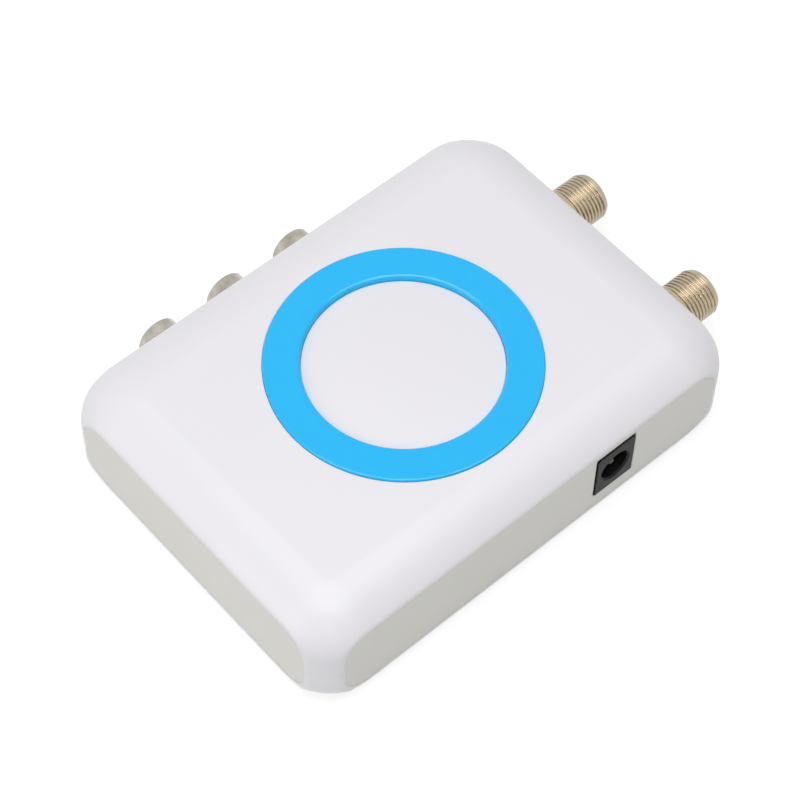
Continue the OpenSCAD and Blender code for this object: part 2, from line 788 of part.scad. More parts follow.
// Flat chip with gull-wing legs along two sides
module chip(at) {
    foot = board_top;
    color("dimgray") translate([at.x, at.y, 0]) {
        slab(chip_len / 2, -chip_wid / 2, chip_wid / 2, foot + chip_stand, foot + chip_stand + chip_ht);
        for (i = [0 : chip_legs - 1], turn = [0, 180]) rotate([0, 0, turn])
            translate([(i - (chip_legs - 1) / 2) * chip_leg_pitch, 0, 0]) {
                slab(chip_leg_wid / 2, chip_wid / 2 - chip_leg_t, chip_wid / 2 + chip_leg_out / 2,
                    foot + chip_stand + chip_ht / 2 - chip_leg_t, foot + chip_stand + chip_ht / 2);
                slab(chip_leg_wid / 2, chip_wid / 2 + chip_leg_out / 2 - chip_leg_t,
                    chip_wid / 2 + chip_leg_out / 2, foot, foot + chip_stand + chip_ht / 2);
                slab(chip_leg_wid / 2, chip_wid / 2 + chip_leg_out / 2 - chip_leg_t,
                    chip_wid / 2 + chip_leg_out, foot, foot + chip_leg_t);
            }
    }
}

module modulator_chip() { chip(in_can(modulator_shares)); }
module control_chip() { chip(on_board(control_shares)); }

// Flat bar with round ends
module round_bar(l, w, h) {
    linear_extrude(h) union() {
        square([l - w, w], center = true);
        for (s = [-1, 1]) translate([s * (l - w) / 2, 0]) circle(d = w);
    }
}

module crystal() {
    at = in_can(crystal_shares);
    color("silver") translate([at.x, at.y, board_top]) {
        round_bar(crystal_len, crystal_wid, crystal_brim);
        round_bar(crystal_len - 2 * crystal_brim, crystal_wid - 2 * crystal_brim, crystal_ht);
    }
}

module regulator() {
    at = on_board(regulator_shares);
    tab_top = board_top + chip_stand + chip_leg_t;
    color("dimgray") translate([at.x, at.y, 0]) {
        slab(regulator_len / 2, -regulator_wid / 2, regulator_wid / 2,
            board_top + chip_stand, board_top + chip_stand + regulator_ht);
        slab(regulator_tab, 0, regulator_wid / 2 + regulator_tab, board_top, tab_top);
        for (i = [-1, 0, 1]) translate([i * regulator_len / 3, 0, 0])
            slab(chip_leg_wid, -regulator_wid / 2 - regulator_tab, 0, board_top, tab_top);
    }
}

module capacitors() {
    waist = capacitor_r - capacitor_bead_in;
    foot = capacitor_bead_z;
    color("darkslateblue") {
        for (p = capacitor_at) translate([p.x, p.y, board_top]) rotate_extrude() polygon([
            [0, 0], [capacitor_r, 0], [capacitor_r, foot],
            [waist, foot + capacitor_bead_ht / 2], [capacitor_r, foot + capacitor_bead_ht],
            [capacitor_r, capacitor_ht - capacitor_bead_in], [waist, capacitor_ht], [0, capacitor_ht]]);
        leads(capacitor_leads);
    }
}

module choke_core() {
    color("dimgray") translate([choke_at.x, choke_at.y, board_top]) {
        cylinder(h = choke_flange, r = choke_r);
        cylinder(h = choke_ht, r = choke_neck_r);
        translate([0, 0, choke_ht - choke_flange]) cylinder(h = choke_flange, r = choke_r);
    }
}

module choke_winding() {
    color("peru") translate([choke_at.x, choke_at.y, board_top + choke_flange + gap]) difference() {
        cylinder(h = choke_ht - 2 * choke_flange - 2 * gap, r = choke_r - choke_flange / 2);
        translate([0, 0, -over]) cylinder(h = choke_ht, r = choke_neck_r + gap);
    }
}

top_cover();
bottom_cover();
front_panel();
back_panel();
left_panel();
right_panel();
light_ring();
circuit_board();
light_diodes();
case_screws();
aerial_shell_back();
aerial_shell_front();
aerial_insulator_back();
aerial_insulator_front();
aerial_contact_back();
aerial_contact_front();
jack_block_yellow();
jack_block_white();
jack_block_red();
barrel_yellow();
barrel_white();
barrel_red();
core_yellow();
core_white();
core_red();
sleeve_yellow();
sleeve_white();
sleeve_red();
power_housing();
power_pin();
power_spring();
switch_frame();
switch_base();
switch_knob();
shield_frame();
shield_lid();
modulator_chip();
crystal();
control_chip();
regulator();
capacitors();
choke_core();
choke_winding();
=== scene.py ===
"""Looks of a desktop signal modulator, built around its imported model."""

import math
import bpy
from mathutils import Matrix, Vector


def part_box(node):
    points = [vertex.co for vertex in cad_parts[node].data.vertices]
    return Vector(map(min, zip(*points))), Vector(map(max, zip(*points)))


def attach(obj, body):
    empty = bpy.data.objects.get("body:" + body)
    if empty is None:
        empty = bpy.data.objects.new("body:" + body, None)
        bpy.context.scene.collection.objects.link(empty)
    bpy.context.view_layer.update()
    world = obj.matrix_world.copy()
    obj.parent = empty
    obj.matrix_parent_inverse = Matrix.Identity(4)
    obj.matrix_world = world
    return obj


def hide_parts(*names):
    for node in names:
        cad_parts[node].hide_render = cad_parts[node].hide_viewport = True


bl_info = {
    "name": "Signal modulator",
    "version": (1, 0, 0),
    "blender": (4, 5, 0),
    "location": "View3D > Sidebar > Modulator",
    "description": "Builds the looks of a desktop signal modulator on its packed frame",
    "category": "Object",
}

import bmesh
import bpy
from mathutils import Matrix, Vector
from mathutils.geometry import delaunay_2d_cdt

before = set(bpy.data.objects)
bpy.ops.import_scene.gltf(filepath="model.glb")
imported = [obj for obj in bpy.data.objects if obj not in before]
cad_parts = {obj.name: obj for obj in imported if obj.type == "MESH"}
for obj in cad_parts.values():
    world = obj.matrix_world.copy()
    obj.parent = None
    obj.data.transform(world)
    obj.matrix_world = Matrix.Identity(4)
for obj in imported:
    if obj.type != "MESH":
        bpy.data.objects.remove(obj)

MM = 0.001
CASE, KNOB = "case", "knob"
# Sides of a round form: large, usual, leg, post, lead and floor
RING_SIDES, SIDES, LEG_SIDES, POST_SIDES, LEAD_SIDES, FLOOR_SIDES = 192, 96, 32, 48, 16, 64
CENTRE = (0, 0)
QUARTER = math.pi / 2
# The aerial jacks and the phono jacks by name, and the corners of a square in turn
ENDS, TINTS = ("back", "front"), ("yellow", "white", "red")
AROUND = ((-1, -1), (1, -1), (1, 1), (-1, 1))


def box_mm(node):
    """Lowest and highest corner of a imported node, in millimetres."""
    low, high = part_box(node)
    return [c / MM for c in low], [c / MM for c in high]


def middle(node, k):
    """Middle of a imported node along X, Y or Z (k 0, 1 or 2), in millimetres."""
    low, high = box_mm(node)
    return (low[k] + high[k]) / 2


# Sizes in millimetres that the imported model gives
CASE_HT = box_mm("top_cover")[1][2]
JOINT_Z = box_mm("bottom_cover")[1][2]
RING_R = box_mm("light_ring")[1][0]
RING_TOP = box_mm("light_ring")[1][2]
RING_LEG_LOW = box_mm("light_ring")[0][2]
PANEL_Y = -box_mm("front_panel")[0][1]
PANEL_X = box_mm("right_panel")[1][0]

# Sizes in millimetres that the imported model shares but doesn't name
RECESS = 1.9
CASE_LEN, CASE_WID = 2 * (PANEL_X + RECESS), 2 * (PANEL_Y + RECESS)
CORNER_R = 13.0
TOP_REACH, TOP_RISE = 12.4, 8.8
BASE_R = 5.0
WALL, ROOF, FLOOR = 2.5, 2.2, 2.0
RIM_WIDE, RIM_FLAT, RIM_THICK = 0.8, 0.25, 1.2
WINDOW_R = 5.4
WINDOW_LONG = box_mm("front_panel")[1][0] - RIM_WIDE
WINDOW_END = box_mm("right_panel")[1][1] - RIM_WIDE
WINDOW_LOW = box_mm("front_panel")[0][2] + RIM_FLAT
WINDOW_HIGH = box_mm("front_panel")[1][2] - RIM_FLAT
RING_HOLE_R = 18.05
SEAT_Z = CASE_HT - 1.4
DISC_EDGE_Z, DISC_RISE = CASE_HT - 0.7, 0.4
LEG_R = 2.0
LEG_MID_R = (RING_R + RING_HOLE_R) / 2
LEG_ANGLES = (30, 150, 270)
# Gap between pieces that lie close, and how far joined forms reach into each other
CLEAR, SUNK = 0.05, 0.02
BOARD_LOW, BOARD_TOP, BOARD_END = 3.9, 5.5, box_mm("circuit_board")[1][0]
AXIS_Z = 10.0
# Case screws and the posts that take them, with the clearances round each
POST_IN, POST_R = 9.7, 3.2
POST_X, POST_Y = CASE_LEN / 2 - POST_IN, CASE_WID / 2 - POST_IN
SCREW_R, SCREW_OVER, SCREW_TIP, SCREW_TIP_R = 1.5, 8.0, 1.0, 0.3
HEAD_R, HEAD_T, HEAD_SUNK = 2.75, 1.7, 0.2
# A screw head's rounding, as (less than its radius, over its lower face)
HEAD_DOME = ((0.6, 0), (0.25, 0.12), (0.05, 0.4), (0, 0.7))
SLOT_HALF, SLOT_ARM, SLOT_DEEP, SLOT_TAPER = 0.35, 1.72, 0.9, 0.8
THREAD_CLEAR, SHANK_CLEAR, HEAD_CLEAR, HEAD_CHAMFER = 0.03, 0.2, 0.15, 0.1
BORE_DEEP, POST_INTO_ROOF = 9.0, 0.2
# Rounding at the ring's seat and the disc, and of the ring's own edges
SEAT_LIP, RING_OUTER_SOFT, RING_INNER_SOFT, LEG_INTO_RING = 0.12, 0.35, 0.75, 0.6
# Openings in the panels: clearances, corner roundings and radii
JACK_GAP, JACK_HOLE_SOFT = 0.15, 0.3
AERIAL_HOLE_R, PLUG_HOLE_R = 5.3, 6.0
SWITCH_HALF_X, SWITCH_HALF_Z, SWITCH_SOFT = 2.3, 1.2, 0.2
# Aerial jacks
AERIAL_BLOCK, AERIAL_BLOCK_WIDE, AERIAL_BLOCK_HT = 8.7, 9.2, 9.4
AERIAL_SHOULDER_R, AERIAL_CREST_R, AERIAL_LEAD_R, AERIAL_BORE_R = 5.2, 4.76, 4.35, 3.3
AERIAL_LEAD, SHOULDER_X = 0.7, PANEL_X + 2.5
SHOULDER_SOFT, TIP_SOFT, MOUTH_SOFT, RUN_OUT, THREAD_ROWS = 0.3, 0.55, 0.15, 0.35, 110
LEAD_R, LEAD_IN, LEAD_SIDE, LEAD_LOW = 0.5, 1.4, 3.2, BOARD_LOW - 1
LEAD_TOP = BOARD_TOP + SUNK
BUSH_IN, BUSH_SOFT, CONTACT_R = 0.6, 0.2, 0.95
WIRE_R, WIRE_FUNNEL, WIRE_DEEP = 1.2, 0.5, 2.95
# Phono jacks
BARREL_WALL, BARREL_SEAT, SPIGOT_STEP = 0.7, 2.0, 0.3
FOOT_CUT_WIDE, FOOT_CUT_LONG = 0.2, 0.4
SPIGOT_SOFT, FOOT_SOFT, BORE_LIP = 0.1, 0.05, 0.2
CORE_IN, CORE_SOFT, DISH_R, DISH_DEEP, DISH_SLOPE = 0.5, 0.12, 2.5, 0.15, 0.15
PIN_HOLE_R, PIN_FUNNEL, PIN_HOLE_DEEP, SLEEVE_R = 1.85, 0.3, 1.6, 2.08
# Power jack
HOUSING_CUT, HOUSING_SOFT = 0.6, 0.18
SOCKET_R, SOCKET_CHAMFER, SOCKET_DEEP, SOCKET_PIN_R = 3.15, 0.35, 10.0, 0.85
# Channel switch's knob: its carriage and its stem as half widths and half heights
CARRIAGE, CARRIAGE_LONG, STEM = (2.0, 1.2), 1.6, (1.0, 0.9)
KNOB_CORNER, TIP_BEVEL, TIP_BREAK = 0.15, 0.2, 0.06


# ---- Shapes ----

# In metres: points nearer than WELD become one, and edges shorter than NO_LENGTH go
WELD, NO_LENGTH = 1e-6, 1e-8
# In millimetres: points of a flat face nearer than this are one
FILL_NEAR = 1e-7


class Shape:
    """Points in millimetres and the faces between them."""

    def __init__(self):
        self.points = []
        self.faces = []

    def row(self, points):
        """Adds points and gives their numbers."""
        first = len(self.points)
        self.points.extend(tuple(p) for p in points)
        return list(range(first, len(self.points)))

    def bands(self, rows, closed=True):
        """Faces between each two neighbouring rows."""
        for a, b in zip(rows, rows[1:]):
            for i in range(len(a) if closed else len(a) - 1):
                j = (i + 1) % len(a)
                self.faces.append((a[i], a[j], b[j], b[i]))

    def fill(self, *loops):
        """A flat face inside the first loop, with the other loops as holes."""
        ids = [i for loop in loops for i in loop]
        spots = [self.points[i] for i in ids]
        spans = [max(c) - min(c) for c in zip(*spots)]
        drop = spans.index(min(spans))
        flat = [Vector([p[k] for k in range(3) if k != drop]) for p in spots]
        edges, start = [], 0
        for loop in loops:
            many = len(loop)
            edges += [(start + i, start + (i + 1) % many) for i in range(many)]
            start += many
        verts, _, faces, origin, _, _ = delaunay_2d_cdt(flat, edges, [], 0, FILL_NEAR)
        for face in faces:
            inside = sum((verts[i] for i in face), Vector((0, 0))) / len(face)
            crossed = 0
            for a, b in edges:
                p, q = flat[a], flat[b]
                if (p.y > inside.y) != (q.y > inside.y):
                    at = p.x + (inside.y - p.y) / (q.y - p.y) * (q.x - p.x)
                    crossed += at > inside.x
            if crossed % 2:
                self.faces.append(tuple(ids[origin[i][0]] for i in face))

    def turned(self, outline, axis, centre, sides=SIDES, ring=False):
        """An outline of (radius, height) turned about an axis. ring joins its ends."""
        rows = [self.row(around(axis, centre, r, h, sides)) for r, h in outline]
        self.bands(rows + rows[:1] if ring else rows)
        return rows

    def mesh(self, name):
        """The shape as a mesh in metres, its doubles merged and its faces outwards."""
        mesh = bpy.data.meshes.new(name)
        mesh.from_pydata([[c * MM for c in p] for p in self.points], [], self.faces)
        work = bmesh.new()
        work.from_mesh(mesh)
        bmesh.ops.remove_doubles(work, verts=work.verts, dist=WELD)
        bmesh.ops.dissolve_degenerate(work, edges=work.edges, dist=NO_LENGTH)
        bmesh.ops.recalc_face_normals(work, faces=work.faces)
        work.to_mesh(mesh)
        work.free()
        return mesh


def around(axis, centre, r, h, sides=SIDES):
    """Points of a circle about an axis, at height h along it."""
    made = []
    for i in range(sides):
        a = 2 * math.pi * i / sides
        p, q = centre[0] + r * math.cos(a), centre[1] + r * math.sin(a)
        made.append({"x": (h, p, q), "y": (p, h, q), "z": (p, q, h)}[axis])
    return made


def curve(a, b, c, t):
    """The place t, from 0 to 1, on a curve from a to c that b draws towards itself."""
    return a * (1 - t) ** 2 + b * (2 * t * (1 - t)) + c * t**2


def rod(r, low, high):
    """The outline of a round rod, closed at both ends."""
    return [(0, low), (r, low), (r, high), (0, high)]


def softened(corners, steps=4):
    """A closed outline of (x, y, rounding) with its corners rounded."""
    made = []
    for k, (x, y, r) in enumerate(corners):
        here = Vector((x, y))
        if not r:
            made.append((x, y))
            continue
        before = Vector(corners[k - 1][:2]) - here
        after = Vector(corners[(k + 1) % len(corners)][:2]) - here
        a, b = here + before.normalized() * r, here + after.normalized() * r
        for i in range(steps + 1):
            made.append(tuple(curve(a, here, b, i / steps)))
    return made


def show(name, shape, material, body, slot, node, sharp=40, flat=False):
    """Makes a piece of a shape or a mesh, sets what it rides on and hides the imported node
    it stands for.
    """
    mesh = shape.mesh(name) if isinstance(shape, Shape) else shape
    mesh.materials.clear()
    mesh.materials.append(material)
    mesh.polygons.foreach_set("use_smooth", [True] * len(mesh.polygons))
    mesh.set_sharp_from_angle(angle=math.radians(sharp))
    piece = bpy.data.objects.new(name, mesh)
    bpy.context.scene.collection.objects.link(piece)
    if flat:
        even = piece.modifiers.new("even_shading", "WEIGHTED_NORMAL")
        even.keep_sharp = True
    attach(piece, body)
    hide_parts(node)


# ---- The covers' rounded form ----


class Form:
    """Rounded case form, drawn side by side in places u along and v up its section."""

    def __init__(self, inset, low, high, reach, rise, base):
        self.half = (CASE_LEN / 2 - CORNER_R, CASE_WID / 2 - CORNER_R)
        self.corner = CORNER_R - inset
        self.low, self.high = low, high
        self.reach, self.rise, self.base = reach, rise, base

    def section(self, v):
        """Inset and height at a place of the section: 0 base, 1 to 2 wall, 3 roof."""
        if v <= 1:
            a = v * QUARTER
            return self.base * (1 - math.sin(a)), self.low + self.base * (1 - math.cos(a))
        wall_low, wall_high = self.low + self.base, self.high - self.rise
        if v <= 2:
            return 0.0, wall_low + (v - 1) * (wall_high - wall_low)
        a = (v - 2) * QUARTER
        return self.reach * (1 - math.cos(a)), wall_high + self.rise * math.sin(a)

    def place(self, z):
        """The place of the section at a height."""
        wall_low, wall_high = self.low + self.base, self.high - self.rise
        if z < wall_low:
            return math.acos(1 - (z - self.low) / self.base) / QUARTER
        if z <= wall_high:
            return 1 + (z - wall_low) / (wall_high - wall_low)
        return 2 + math.asin((z - wall_high) / self.rise) / QUARTER

    def uv(self, end, s, z):
        """Places (u, v) of a point seen straight on at (s, z)."""
        half = self.half[end]
        v = self.place(z)
        r = self.corner - self.section(v)[0]
        if abs(s) <= half:
            return s, v
        return math.copysign(half + self.corner * math.asin((abs(s) - half) / r), s), v

    def point(self, end, u, v, sunk=0.0):
        """The point (s, t, z) at (u, v): s along the side and t out of it."""
        half, other = self.half[end], self.half[1 - end]
        inset, z = self.section(v)
        r = self.corner - inset - sunk
        if abs(u) <= half:
            return u, other + r, z
        a = (abs(u) - half) / self.corner
        return math.copysign(half + r * math.sin(a), u), other + r * math.cos(a), z

    def edge(self, end):
        """u at the middle of the corner."""
        return self.half[end] + self.corner * math.pi / 4


OUTSIDE = Form(0, 0, CASE_HT, TOP_REACH, TOP_RISE, BASE_R)
INSIDE = Form(
    WALL, FLOOR, CASE_HT - ROOF, TOP_REACH - WALL, TOP_RISE - ROOF, BASE_R - WALL
)
# Places of the section: base, roof, the middle of the wall and where the flat roof starts
BASE_V, ROOF_V, MIDDLE_V, ROOF_EDGE_V = 0, 3, 1.5, 2.955
SIDE_STEPS, ARC_STEPS, TOP_STEPS, ROWS, EDGE_ROWS = 10, 20, 64, 22, 10
# A window's edge: flush with the panel where the ledge is shallow, rounded where it is deep
SHALLOW, DEEP = 0.35, 1.4
FLUSH_WIDE, FLUSH_SOFT, FLUSH_SUNK = 1.3, 0.5, 0.02
# Largest share of a ledge's depth that its rounding takes
LIP_SHARE = 0.8
# Rounding of a panel's outline, wide and shallow, and the gap around it
OUTLINE_WIDE, OUTLINE_DEEP, SHUT = 0.6, 0.05, 0.02
# Height over the floor at which the pocket for a panel's rim ends
POCKET_OVER = 0.33
# Rows of the disc's dome and of a window's corners, and the angles of rounded edges' rows
DISC_STEPS, LOOP_STEPS = 12, 12
LIP_TURNS = (0, 0.4, 0.8, 1.2, QUARTER)
PANEL_TURNS, HOUSING_TURNS = (QUARTER, 1.1, 0.6, 0), (0, 0.5, 1.0, QUARTER)


def turn(side, s, t, z):
    """From a side's own (s, t, z) to the case: sides 0 front, 1 right, 2 back, 3 left."""
    return {0: (s, -t, z), 1: (t, s, z), 2: (-s, t, z), 3: (-t, -s, z)}[side]


def window_path(half, far_z, radius, groove):
    """Half a window's edge, from the joint round to the joint: (s, z, outward s, z)."""
    way = math.copysign(1, far_z - JOINT_Z)
    bend = far_z - way * radius
    low, steps = JOINT_Z + way * groove, SIDE_STEPS - 1
    ups = [JOINT_Z, low] + [low + (bend - low) * i / steps for i in range(1, steps)]
    left = [(-half, z, -1.0, 0.0) for z in ups]
    for i in range(ARC_STEPS + 1):
        c, d = math.cos(QUARTER * i / ARC_STEPS), way * math.sin(QUARTER * i / ARC_STEPS)
        left.append((radius - half - radius * c, bend + radius * d, -c, d))
    flat = half - radius
    top = [(flat * (2 * i / TOP_STEPS - 1), far_z, 0.0, way) for i in range(1, TOP_STEPS)]
    right = [(-s, z, -a, b) for s, z, a, b in reversed(left)]
    return left + top + right


def border_path(form, end, last_v, groove):
    """The edge of a side's part of the form, with as many places as window_path."""
    way = math.copysign(1, last_v - MIDDLE_V)
    edge, half = form.edge(end), form.half[end]
    first, second = form.place(JOINT_Z), form.place(JOINT_Z + way * groove)
    turns = ARC_STEPS // 2
    ups = SIDE_STEPS + turns
    left = [(-edge, first)]
    left += [(-edge, second + (last_v - second) * i / (ups - 1)) for i in range(ups)]
    left += [(-edge + (edge - half) * (i + 1) / turns, last_v) for i in range(turns)]
    top = [(half * (2 * i / TOP_STEPS - 1), last_v) for i in range(1, TOP_STEPS)]
    right = [(-u, v) for u, v in reversed(left)]
    return left + top + right


def soft_min(a, b, blend):
    """The smaller of two numbers, rounded off where they differ by less than blend."""
    near = max(blend - abs(a - b), 0) / blend
    return min(a, b) - near * near * blend / 4


def window_edge(end, spot, face, soft, sunk):
    """A cover's edge at a place of the window: where it starts, and its points."""
    s, z, ns, nz = spot

    def place(x):
        return OUTSIDE.uv(end, s + ns * x, z + nz * x)

    edge = OUTSIDE.point(end, *place(0), sunk)
    depth = edge[1] - face
    r = min(soft, LIP_SHARE * depth)
    flush = min(1.0, max(0.0, (DEEP - depth) / (DEEP - SHALLOW)))
    flush = flush * flush * (3 - 2 * flush)
    reach = FLUSH_WIDE * flush + r * (1 - flush)
    top, corner = Vector(OUTSIDE.point(end, *place(reach), sunk)), Vector(edge)
    foot = corner - Vector((0, r, 0))
    made = []
    for k in range(1, EDGE_ROWS + 1):
        t = k / EDGE_ROWS
        x, y, h = OUTSIDE.point(end, *place(reach * (1 - t)), sunk)
        level = soft_min(y, face - FLUSH_SUNK - sunk, FLUSH_SOFT)
        made.append(tuple(curve(top, corner, foot, t).lerp(Vector((x, level, h)), flush)))
    return place(reach), made


def between(form, end, first, last, sunk=0.0):
    """Points of the form in a line from one place (u, v) to another."""
    made = []
    for k in range(ROWS + 1):
        t = k / ROWS
        u, v = (a * (1 - t) + b * t for a, b in zip(first, last))
        made.append(form.point(end, u, v, sunk))
    return made


def cover_side(shape, side, upper, groove, soft):
    """One side of a cover, outside and inside; gives its two rows at roof or base."""
    end, way = side % 2, 1 if upper else -1
    far_z, last_v = (WINDOW_HIGH, ROOF_EDGE_V) if upper else (WINDOW_LOW, BASE_V)
    half, wide = (WINDOW_LONG, WINDOW_END)[end], RIM_WIDE + CLEAR
    bend, narrow = far_z - way * WINDOW_R, way * (RIM_WIDE - RIM_FLAT)
    widest = OUTSIDE.half[1 - end] + CORNER_R
    face, seat = widest - RECESS, widest - WALL + SUNK
    path = window_path(half, far_z, WINDOW_R, groove)
    border = border_path(OUTSIDE, end, last_v, groove)
    inner_border = border_path(INSIDE, end, ROOF_V if upper else BASE_V, groove)
    count = len(path)
    columns = []
    for i, spot in enumerate(path):
        s, z, ns, nz = spot
        sunk = groove if i in (0, count - 1) else 0.0
        start, lip = window_edge(end, spot, face, soft, sunk)
        # The rim's pocket, which gets flatter from the joint to the window's corners
        share = min(1, (z - JOINT_Z) / (bend - JOINT_Z))
        s2, z2 = s + ns * wide, z + nz * wide - narrow * share
        pocket = [(s, seat, z), (s2, seat, z2), (s2, seat - RIM_THICK - CLEAR, z2)]
        last = INSIDE.uv(end, s2, max(z2, FLOOR + POCKET_OVER))
        outside = between(OUTSIDE, end, border[i], start, sunk)
        inside = between(INSIDE, end, last, inner_border[i])
        columns.append(outside + lip + pocket + inside)
    rows = [shape.row(turn(side, *p) for p in line) for line in zip(*columns)]
    shape.bands(rows, closed=False)
    for i in (0, count - 1):
        line = [row[i] for row in rows]
        for k in range(ROWS):
            shape.faces.append((line[k], line[k + 1], line[-k - 2], line[-k - 1]))
        shape.faces.append(tuple(line[ROWS : len(line) - ROWS]))
    ends = SIDE_STEPS + ARC_STEPS // 2
    return rows[0][ends : count - ends], rows[-1][ends : count - ends]


def cover_shell(upper, groove, soft):
    """The four sides of a cover; gives the shape and its outer and inner loops."""
    shape = Shape()
    outer, inner = [], []
    for side in range(4):
        a, b = cover_side(shape, side, upper, groove, soft)
        outer += a[:-1]
        inner += b[:-1]
    return shape, outer, inner


def leg_places():
    """Middles of the light ring's legs."""
    for a in map(math.radians, LEG_ANGLES):
        yield LEG_MID_R * math.cos(a), LEG_MID_R * math.sin(a)


def post_places():
    """Middles of the posts that take the case screws."""
    return [(sx * POST_X, sy * POST_Y) for sx in (-1, 1) for sy in (-1, 1)]


def top_cover_shape(groove, soft):
    """The top cover: its roof, the ring's seat, the disc, the legs' wells and the posts."""
    shape, outer, inner = cover_shell(True, groove, soft)
    r, hole, under_z = RING_R + CLEAR, RING_HOLE_R - CLEAR, CASE_HT - ROOF
    seat = [
        (r + SEAT_LIP * (1 - math.sin(a)), CASE_HT - SEAT_LIP * (1 - math.cos(a)))
        for a in LIP_TURNS
    ]
    rows = shape.turned([*seat, (r, SEAT_Z)], "z", CENTRE, RING_SIDES)
    shape.fill(outer, rows[0])
    flat = hole - SEAT_LIP
    disc = [(hole, SEAT_Z), (hole, DISC_EDGE_Z - SEAT_LIP), (flat, DISC_EDGE_Z)]
    for i in range(1, DISC_STEPS + 1):
        q = 1 - i / DISC_STEPS
        disc.append((flat * q, DISC_EDGE_Z + DISC_RISE * (1 - q**2)))
    dome = shape.turned(disc, "z", CENTRE, RING_SIDES)
    well = [(LEG_R + CLEAR, SEAT_Z), (LEG_R + CLEAR, under_z)]
    wells = [shape.turned(well, "z", at, LEG_SIDES) for at in leg_places()]
    shape.fill(rows[-1], dome[0], *[w[0] for w in wells])
    shape.fill(inner, *[w[1] for w in wells])
    bore, end = SCREW_R + THREAD_CLEAR, BOARD_TOP + BORE_DEEP
    top = under_z + POST_INTO_ROOF
    post = [(0, end), (bore, end), (bore, BOARD_TOP)]
    post += [(POST_R, BOARD_TOP), (POST_R, top), (0, top)]
    for at in post_places():
        shape.turned(post, "z", at, POST_SIDES)
    return shape


def bottom_cover_shape(groove, soft):
    """The bottom cover: its base, the four screws' wells in posts, and two board rests."""
    shape, outer, inner = cover_shell(False, groove, soft)
    pocket, bore, seat = HEAD_R + HEAD_CLEAR, SCREW_R + SHANK_CLEAR, HEAD_SUNK + HEAD_T
    well = [(pocket + HEAD_CHAMFER, 0), (pocket, HEAD_CHAMFER), (pocket, seat)]
    well += [(bore, seat), (bore, BOARD_LOW), (POST_R, BOARD_LOW), (POST_R, FLOOR)]
    posts = [shape.turned(well, "z", at, POST_SIDES) for at in post_places()]
    feet = [rows[-1] for rows in posts]
    for x in (-POST_X / 2, POST_X / 2):
        rest = shape.turned([(POST_R, FLOOR), (POST_R, BOARD_LOW)], "z", (x, 0), POST_SIDES)
        shape.fill(rest[1])
        feet.append(rest[0])
    shape.fill(outer, *[rows[0] for rows in posts])
    shape.fill(inner, *feet)
    return shape


# ---- Panels ----


def window_loop(half, grow, flat=0.0):
    """The window's closed edge, grown outwards, by so much less above and below."""
    r = WINDOW_R + grow
    made = []
    for k, (sx, sz) in enumerate(((1, -1), (1, 1), (-1, 1), (-1, -1))):
        cx = sx * (half - WINDOW_R)
        cz = (WINDOW_HIGH if sz > 0 else WINDOW_LOW) - sz * (WINDOW_R + flat)
        for i in range(LOOP_STEPS + 1):
            a = QUARTER * (k - 1 + i / LOOP_STEPS)
            made.append((cx + r * math.cos(a), cz + r * math.sin(a)))
    return made


def slot_loop(cx, cz, half_x, half_z, radius, grow):
    """A small rounded opening's edge, grown outwards."""
    corners = [
        (cx + sx * (half_x + grow), cz + sz * (half_z + grow), radius + grow)
        for sx, sz in AROUND
    ]
    return softened(corners, steps=6)


def round_loop(cx, cz, radius, grow):
    """A round opening's edge, grown outwards."""
    return [(x, z) for x, _, z in around("y", (cx, cz), radius + grow, 0)]


def panel_shape(side, holes, soft):
    """A panel with a rim behind it and with its openings, each a function of its growth."""
    end = side % 2
    half, front = (WINDOW_LONG, WINDOW_END)[end], (PANEL_Y, PANEL_X)[end]
    seat = (CASE_WID, CASE_LEN)[end] / 2 - WALL
    back = seat - RIM_THICK
    shape = Shape()

    def row(loop, t):
        return shape.row(turn(side, s, t, z) for s, z in loop)

    turns = [(1 - math.cos(a), 1 - math.sin(a)) for a in PANEL_TURNS]
    rows = [
        row(window_loop(half, -SHUT - OUTLINE_WIDE * g), front - OUTLINE_DEEP * d)
        for g, d in turns
    ]
    rim = window_loop(half, RIM_WIDE, RIM_WIDE - RIM_FLAT)
    rows += [row(window_loop(half, -SHUT), seat), row(rim, seat), row(rim, back)]
    shape.bands(rows)
    fronts, backs = [rows[0]], [rows[-1]]
    for hole in holes:
        lines = [row(hole(soft * g), front - soft * d) for g, d in turns]
        lines += [row(hole(0), back)]
        shape.bands(lines)
        fronts.append(lines[0])
        backs.append(lines[-1])
    shape.fill(*fronts)
    shape.fill(*backs)
    return shape


# ---- Node trees ----

MATH, NOISE, RANGE = "ShaderNodeMath", "ShaderNodeTexNoise", "ShaderNodeMapRange"
REALIZE, PAINT = "GeometryNodeRealizeInstances", "GeometryNodeSetMaterial"
FLOAT, INT, MATERIAL = "NodeSocketFloat", "NodeSocketInt", "NodeSocketMaterial"
# Distances from the middle of a thread's ridge, in shares of the pitch
CREST_FLAT, CREST_EDGE = 0.22, 0.48
# Turns added to keep the thread's phase over zero
SPARE_TURNS = 8.0


def add(tree, kind, *values, named=None, **settings):
    """Adds a node with its settings, its sockets filled with values or other nodes."""
    made = tree.nodes.new(kind)
    for key, value in settings.items():
        setattr(made, key, value)
    for key, value in (*enumerate(values), *(named or {}).items()):
        if isinstance(value, bpy.types.Node):
            value = value.outputs[0]
        if isinstance(value, bpy.types.NodeSocket):
            tree.links.new(value, made.inputs[key])
        elif value is not None:
            made.inputs[key].default_value = value
    return made


